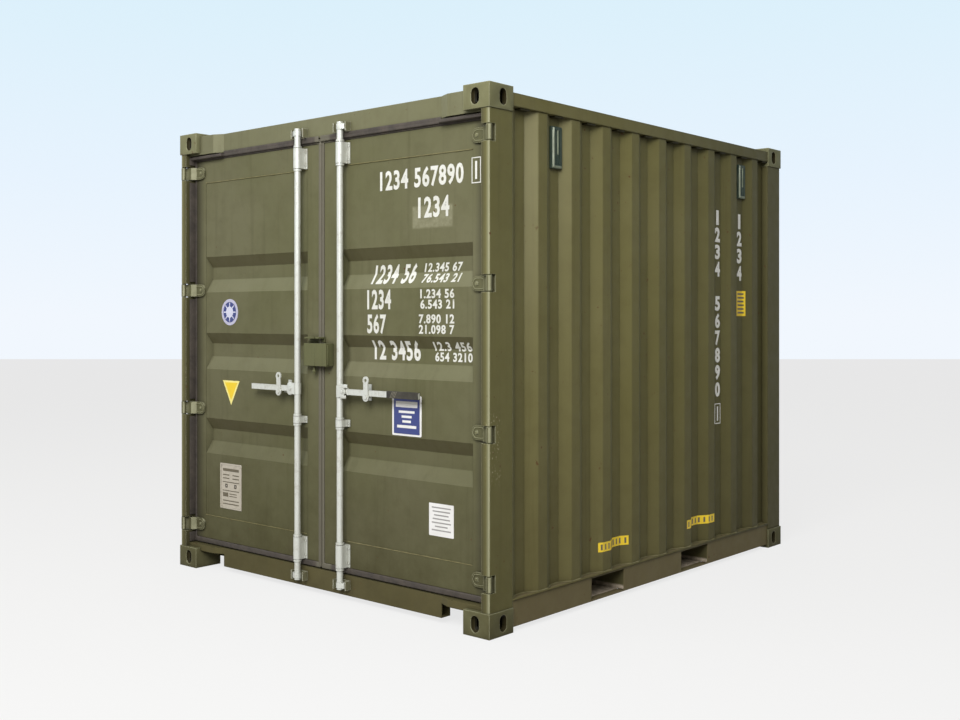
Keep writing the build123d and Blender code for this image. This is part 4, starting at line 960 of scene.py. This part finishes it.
def corner_castings():
    """Eight hollow cast corners: a long slot above or below, an upright oval hole in the front and in the side."""
    wide, length, tall, wall, thin = 0.162, 0.178, 0.118, 0.028, 0.012
    x_hole, y_hole = HALF_WIDTH - 0.089, FRONT_Y + 0.1015
    inner_x, inner_y = HALF_WIDTH - wide, FRONT_Y + length
    block = slab((inner_x, FRONT_Y, 0), (HALF_WIDTH, inner_y, tall))
    hollow = slab((inner_x + thin, FRONT_Y + wall, wall), (HALF_WIDTH - wall, inner_y - thin, tall - thin))
    deep = 0.030
    front = move(card(0.051, 0.0795, 2 * deep, 0.0252), x=x_hole, y=FRONT_Y + deep, z=tall / 2)
    beside = turn(card(0.051, 0.0795, 2 * deep, 0.0252), "Z", 90)
    move(beside, x=HALF_WIDTH - deep, y=y_hole, z=tall / 2)
    below = turn(card(0.0635, 0.124, 2 * deep, 0.0315), "X", 90)
    move(below, x=x_hole, y=y_hole, z=deep)
    for cutter in (hollow, front, beside, below):
        pick(block)
        cut = block.modifiers.new("cut", "BOOLEAN")
        cut.operation, cut.solver, cut.object = "DIFFERENCE", "EXACT", cutter
        bpy.ops.object.modifier_apply(modifier=cut.name)
        bpy.data.objects.remove(cutter)
    soften(block, 0.0050, 3, 50)
    # Faces inside the hollow get near-black painted shade, the bores' walls dark brown painted shade.
    dark = {}
    skin, bore_end = 0.007, 0.020
    for face in block.data.polygons:
        across, along, up = face.center
        if inner_x + skin < across and along < inner_y - skin and up < tall - skin:
            inside = min(HALF_WIDTH - across, along - FRONT_Y, up)
            if inside > skin:
                dark[face.index] = 1 if inside > bore_end else 2
    for end, end_way in (("door", 1), ("blind", -1)):
        for level, up in (("bottom", 1), ("top", -1)):
            for hand, name in SIDE.items():
                one = copy_of(block)
                one.scale = (hand, end_way, up)
                move(one, z=0 if up > 0 else HEIGHT)
                outwards(one)
                hand_over(one, f"{end}_{level}_{name}_casting", "container", CAST_PAINT, smooth=30,
                          instead_of=(f"{end}_{level}_{name}_corner",))
                one.data.materials.append(HOLE_SHADE_PAINT)
                one.data.materials.append(BORE_SHADE_PAINT)
                for place, finish in dark.items():
                    one.data.polygons[place].material_index = finish
    bpy.data.objects.remove(block)


def dome_bolt(radius, tall):
    """A round-headed bolt on a washer, pointing out of the doors, its seat at the origin."""
    washer = rod(18, radius * 1.45, tall * 0.25, location=(0, 0, tall * 0.125))
    soften(washer, tall * 0.07, 1)
    head = rod(18, radius, tall * 0.75, location=(0, 0, tall * 0.625))
    soften(head, tall * 0.32, 3)
    return turn(join([washer, head]), "X", 90)


def bracket_bolts(hand):
    """Bolts through each bracket's feet, four to a tall bracket and two to a low one."""
    places = []
    foot_thick, hole_off = 0.005, 0.0298
    for z, tall in BRACKET_ROWS:
        heights = (z - tall * 0.32, z + tall * 0.32) if tall > 0.1 else (z,)
        places += [(hand * (BAR_X + k * hole_off), DOOR_FACE_Y - foot_thick, h) for h in heights for k in (-1, 1)]
    bolts = copies(dome_bolt(0.0040, 0.0052), places)
    hand_over(bolts, f"{SIDE[hand]}_bracket_bolts", f"{SIDE[hand]}_door", ZINC)


def seam_beads(hand):
    """Weld beads where the pressed panel meets the leaf's top and bottom rails."""
    runs = []
    start, end = RECESS_ENDS[0], RECESS_ENDS[3]
    for z in (0.312, 2.298):
        run = bead(end - start, 0.0065, 0.0034, 70)
        run.location = (hand * (start + end) / 2, DOOR_FACE_Y + 0.0012, z)
        runs.append(turn(run, "X", 90))
    hand_over(join(runs), f"{SIDE[hand]}_panel_seam_beads", f"{SIDE[hand]}_door", BEAD_PAINT, smooth=60)


def rail_ledge(hand):
    """The thin flange on top of the bottom rail that the corrugated wall stands on."""
    half_length = 1.3172
    ledge = for_side(slab((1.2080, -half_length, LEDGE_FOOT), (1.2165, half_length, LEDGE_TOP), 0.0014), hand)
    hand_over(ledge, f"{SIDE[hand]}_rail_ledge", "container", PAINT)


def recess_caps(hand):
    """Small closing plates where each recess of the side wall meets the top rail, painted dark as painted shadow
    under the rail.
    """
    deep, half_wide, height = 0.0400, 0.0350, 2.4955
    cap = slab((-deep, -half_wide, -0.0035), (0.0, half_wide, 0.0035), 0.0012)
    caps = copies(cap, [(WALL_X - 0.0005, WAVE_FIRST + i * WAVE_STEP, height) for i in range(WAVES)])
    hand_over(for_side(caps, hand), f"{SIDE[hand]}_recess_caps", "container", SHADOW_CAP_PAINT)


def bead(length, wide, tall, lumps=14):
    """A weld bead or run of sealant along X, uneven from one pass to the next, seated at z 0."""
    made = rod(8, wide / 2, length, rotation=(0, math.radians(90), 0))
    cut_at(made, 0, [-length / 2 + length * (i + 1) / lumps for i in range(lumps - 1)])
    for v in made.data.vertices:
        swell = 1 + 0.18 * math.sin(v.co.x * 91) + 0.12 * math.sin(v.co.x * 37 + 1)
        v.co.y *= swell
        v.co.z = max(0, v.co.z) * swell * tall * 2 / wide
    return made


def wall_beads(hand):
    """The bead where the corrugated wall stands on the bottom rail, one short run to each flat and slope."""
    points = []
    for i in range(WAVES):
        middle = WAVE_FIRST + i * WAVE_STEP
        points += [(middle - WAVE_EDGE, 0.0), (middle - WAVE_FLAT, WAVE_DEEP),
                   (middle + WAVE_FLAT, WAVE_DEEP), (middle + WAVE_EDGE, 0.0)]
    points.pop()
    runs = []
    for (y0, d0), (y1, d1) in zip(points, points[1:]):
        run = bead(math.hypot(y1 - y0, d1 - d0), 0.009, 0.0045, 6)
        run.rotation_euler = (0, 0, math.atan2(y1 - y0, d0 - d1))
        runs.append(move(run, x=WALL_X - (d0 + d1) / 2, y=(y0 + y1) / 2, z=LEDGE_TOP + 0.0005))
    whole = for_side(join(runs), hand)
    hand_over(whole, f"{SIDE[hand]}_wall_foot_bead", "container", BEAD_PAINT, smooth=60)


# Vents, lock box, hinges and levers

def vent_covers(hand):
    """The rim of each vent's cover, and its ribs: the first one pale, a painted highlight, the third half as pale and
    shorter, a weaker painted highlight.
    """
    cover = 0.0150
    face_x = WALL_X - WAVE_DEEP + cover

    def fitted(piece, title, finish):
        both = copies(turn(piece, "Z", 90 * hand), [(hand * face_x, y, VENT_Z) for y in VENT_YS])
        hand_over(both, f"{SIDE[hand]}_vent_{title}", "container", finish)

    rim = ring((-0.0440, -0.1050, 0.0440, 0.1050), (-0.0370, -0.0970, 0.0370, 0.0970), -0.0030, 0.0, 0.0012)
    ends = [slab((-0.0370, -0.0042, z - 0.0060), (0.0370, 0.0, z + 0.0060), 0.0018, 2) for z in (-0.0915, 0.0915)]
    fitted(join([rim] + ends), "rims", VENT)
    first = -0.0285 * hand
    fitted(slab((first - 0.0062, -0.0072, -0.1000), (first + 0.0062, 0.0, 0.1000), 0.0030, 3), "ribs", VENT_RIB_HIGHLIGHT)
    third = 0.0095 * hand
    fitted(slab((third - 0.0053, -0.0062, -0.0350), (third + 0.0053, 0.0, 0.0880), 0.0026, 3), "short_ribs", VENT_MID)
    fitted(slab((-0.0400, -0.0050, -0.1040), (0.0400, 0.0, -0.0900), 0.0022, 2), "feet", VENT_MID)


def lock_box_fittings():
    """What is welded round the lock box: a ridge on its flank, beads at the lugs, a stop plate's foot, a stud."""
    front = FRONT_Y + 0.021
    strip = slab((-0.0262, front - 0.0002, 1.2332), (-0.0190, front + 0.0040, 1.3548), 0.0004)
    hand_over(strip, "left_lock_box_strip", "left_door", BOX_PAINT)
    ridge = slab((0.0745, front + 0.004, 1.2400), (0.0790, front + 0.014, 1.3480), 0.0015)
    hand_over(ridge, "right_lock_box_ridge", "right_door", BOX_PAINT)
    foot = slab((-0.1250, PANEL_Y - 0.004, 1.2300), (-0.1060, PANEL_Y + 0.001, 1.3580), 0.0015)
    hand_over(foot, "left_stop_plate_foot", "left_door", BOX_PAINT)
    lug_top = 1.3605
    for name, start, end in (("right", -0.0170, 0.0120), ("left", -0.1060, -0.0270)):
        run = bead(end - start, 0.0065, 0.0035, 9)
        run.location = ((start + end) / 2, DOOR_FACE_Y, lug_top)
        hand_over(turn(run, "X", 90), f"{name}_lug_bead", f"{name}_door", BOX_PAINT, smooth=60)
    stud_x, stud_y = -0.047, front + 0.022
    stud = rod(20, 0.0065, 0.046, location=(stud_x, stud_y, 1.212))
    soften(stud, 0.0015)
    nut = rod(6, 0.0120, 0.010, location=(stud_x, stud_y, 1.206))
    soften(nut, 0.0012)
    hand_over(join([stud, nut]), "left_lock_box_stud", "left_door", BOX_PAINT)


def hinge_fittings(hand):
    """On each blade a pressed ridge and a plug; over the pin a rounded washer above and below the knuckle."""
    face_y, half_knuckle = DOOR_FACE_Y - 0.012, 0.0386
    ridge = outline(0.080, 0.056, 0.005, 0.0026, 0.026)
    soften(ridge, 0.00091, 2, 60)
    move(ridge, x=1.1055, y=face_y + 0.0004)
    plug = move(dome_bolt(0.0085, 0.0050), x=1.092, y=face_y)
    ridges = for_side(copies(join([ridge, plug]), [(0, 0, z) for z in HINGE_HEIGHTS]), hand)
    hand_over(ridges, f"{SIDE[hand]}_blade_ridges", f"{SIDE[hand]}_door", CAST_PAINT)
    cap = rod(24, 0.0125, 0.0045, location=(PIN_X, PIN_Y, 0))
    soften(cap, 0.0018, 3)
    caps = for_side(copies(cap, [(0, 0, z + k * half_knuckle) for z in HINGE_HEIGHTS for k in (-1, 1)]), hand)
    hand_over(caps, f"{SIDE[hand]}_hinge_washers", "container", BOX_PAINT)


def lever_fittings():
    """The hubs' front plates with their pin heads, and the turns of tape on the right grip."""
    cap = move(card(0.050, 0.068, 0.0070, 0.020), x=-HUB_X, y=FRONT_Y + 0.0145, z=HUB_Z)
    soften(cap, 0.0014, 2)
    pin = move(dome_bolt(0.0090, 0.0048), x=-HUB_X, y=FRONT_Y + 0.0078, z=HUB_Z)
    hand_over(join([cap, pin]), "left_hub_plate", "left_bar", ZINC)
    front, back = FRONT_Y + 0.0076, FRONT_Y + 0.0148
    high = slab((0.192, front, 1.1250), (0.246, back, 1.1450), 0.0034, 3)
    low = slab((0.194, front, 1.0700), (0.236, back, 1.0880), 0.0034, 3)
    pin = move(dome_bolt(0.0090, 0.0048), x=HUB_X, y=FRONT_Y + 0.0080, z=HUB_Z)
    hand_over(join([high, low, pin]), "right_hub_plate", "right_bar", ZINC)
    turns = []
    first, pitch = 0.566, 0.0095
    for i in range(4):
        one = turn(slab((-0.0012, FRONT_Y + 0.0120, -0.0190), (0.0012, FRONT_Y + 0.0320, 0.0190), 0.0008), "Y", 28)
        turns.append(move(one, x=first + i * pitch, z=HUB_Z))
    hand_over(join(turns), "right_grip_tape", "right_lever", TAPE)


# The whole, in the order of the work

corner_castings()
for hand in SIDE:
    seal_lips(hand)
    bracket_bolts(hand)
    seam_beads(hand)
    rail_ledge(hand)
    recess_caps(hand)
    wall_beads(hand)
for hand in SIDE:
    vent_covers(hand)
    hinge_fittings(hand)
lock_box_fittings()
lever_fittings()

door_numbers()
side_numbers()
blue_card()
white_card()
round_disc()
yellow_triangle()
data_plate()
side_patches()
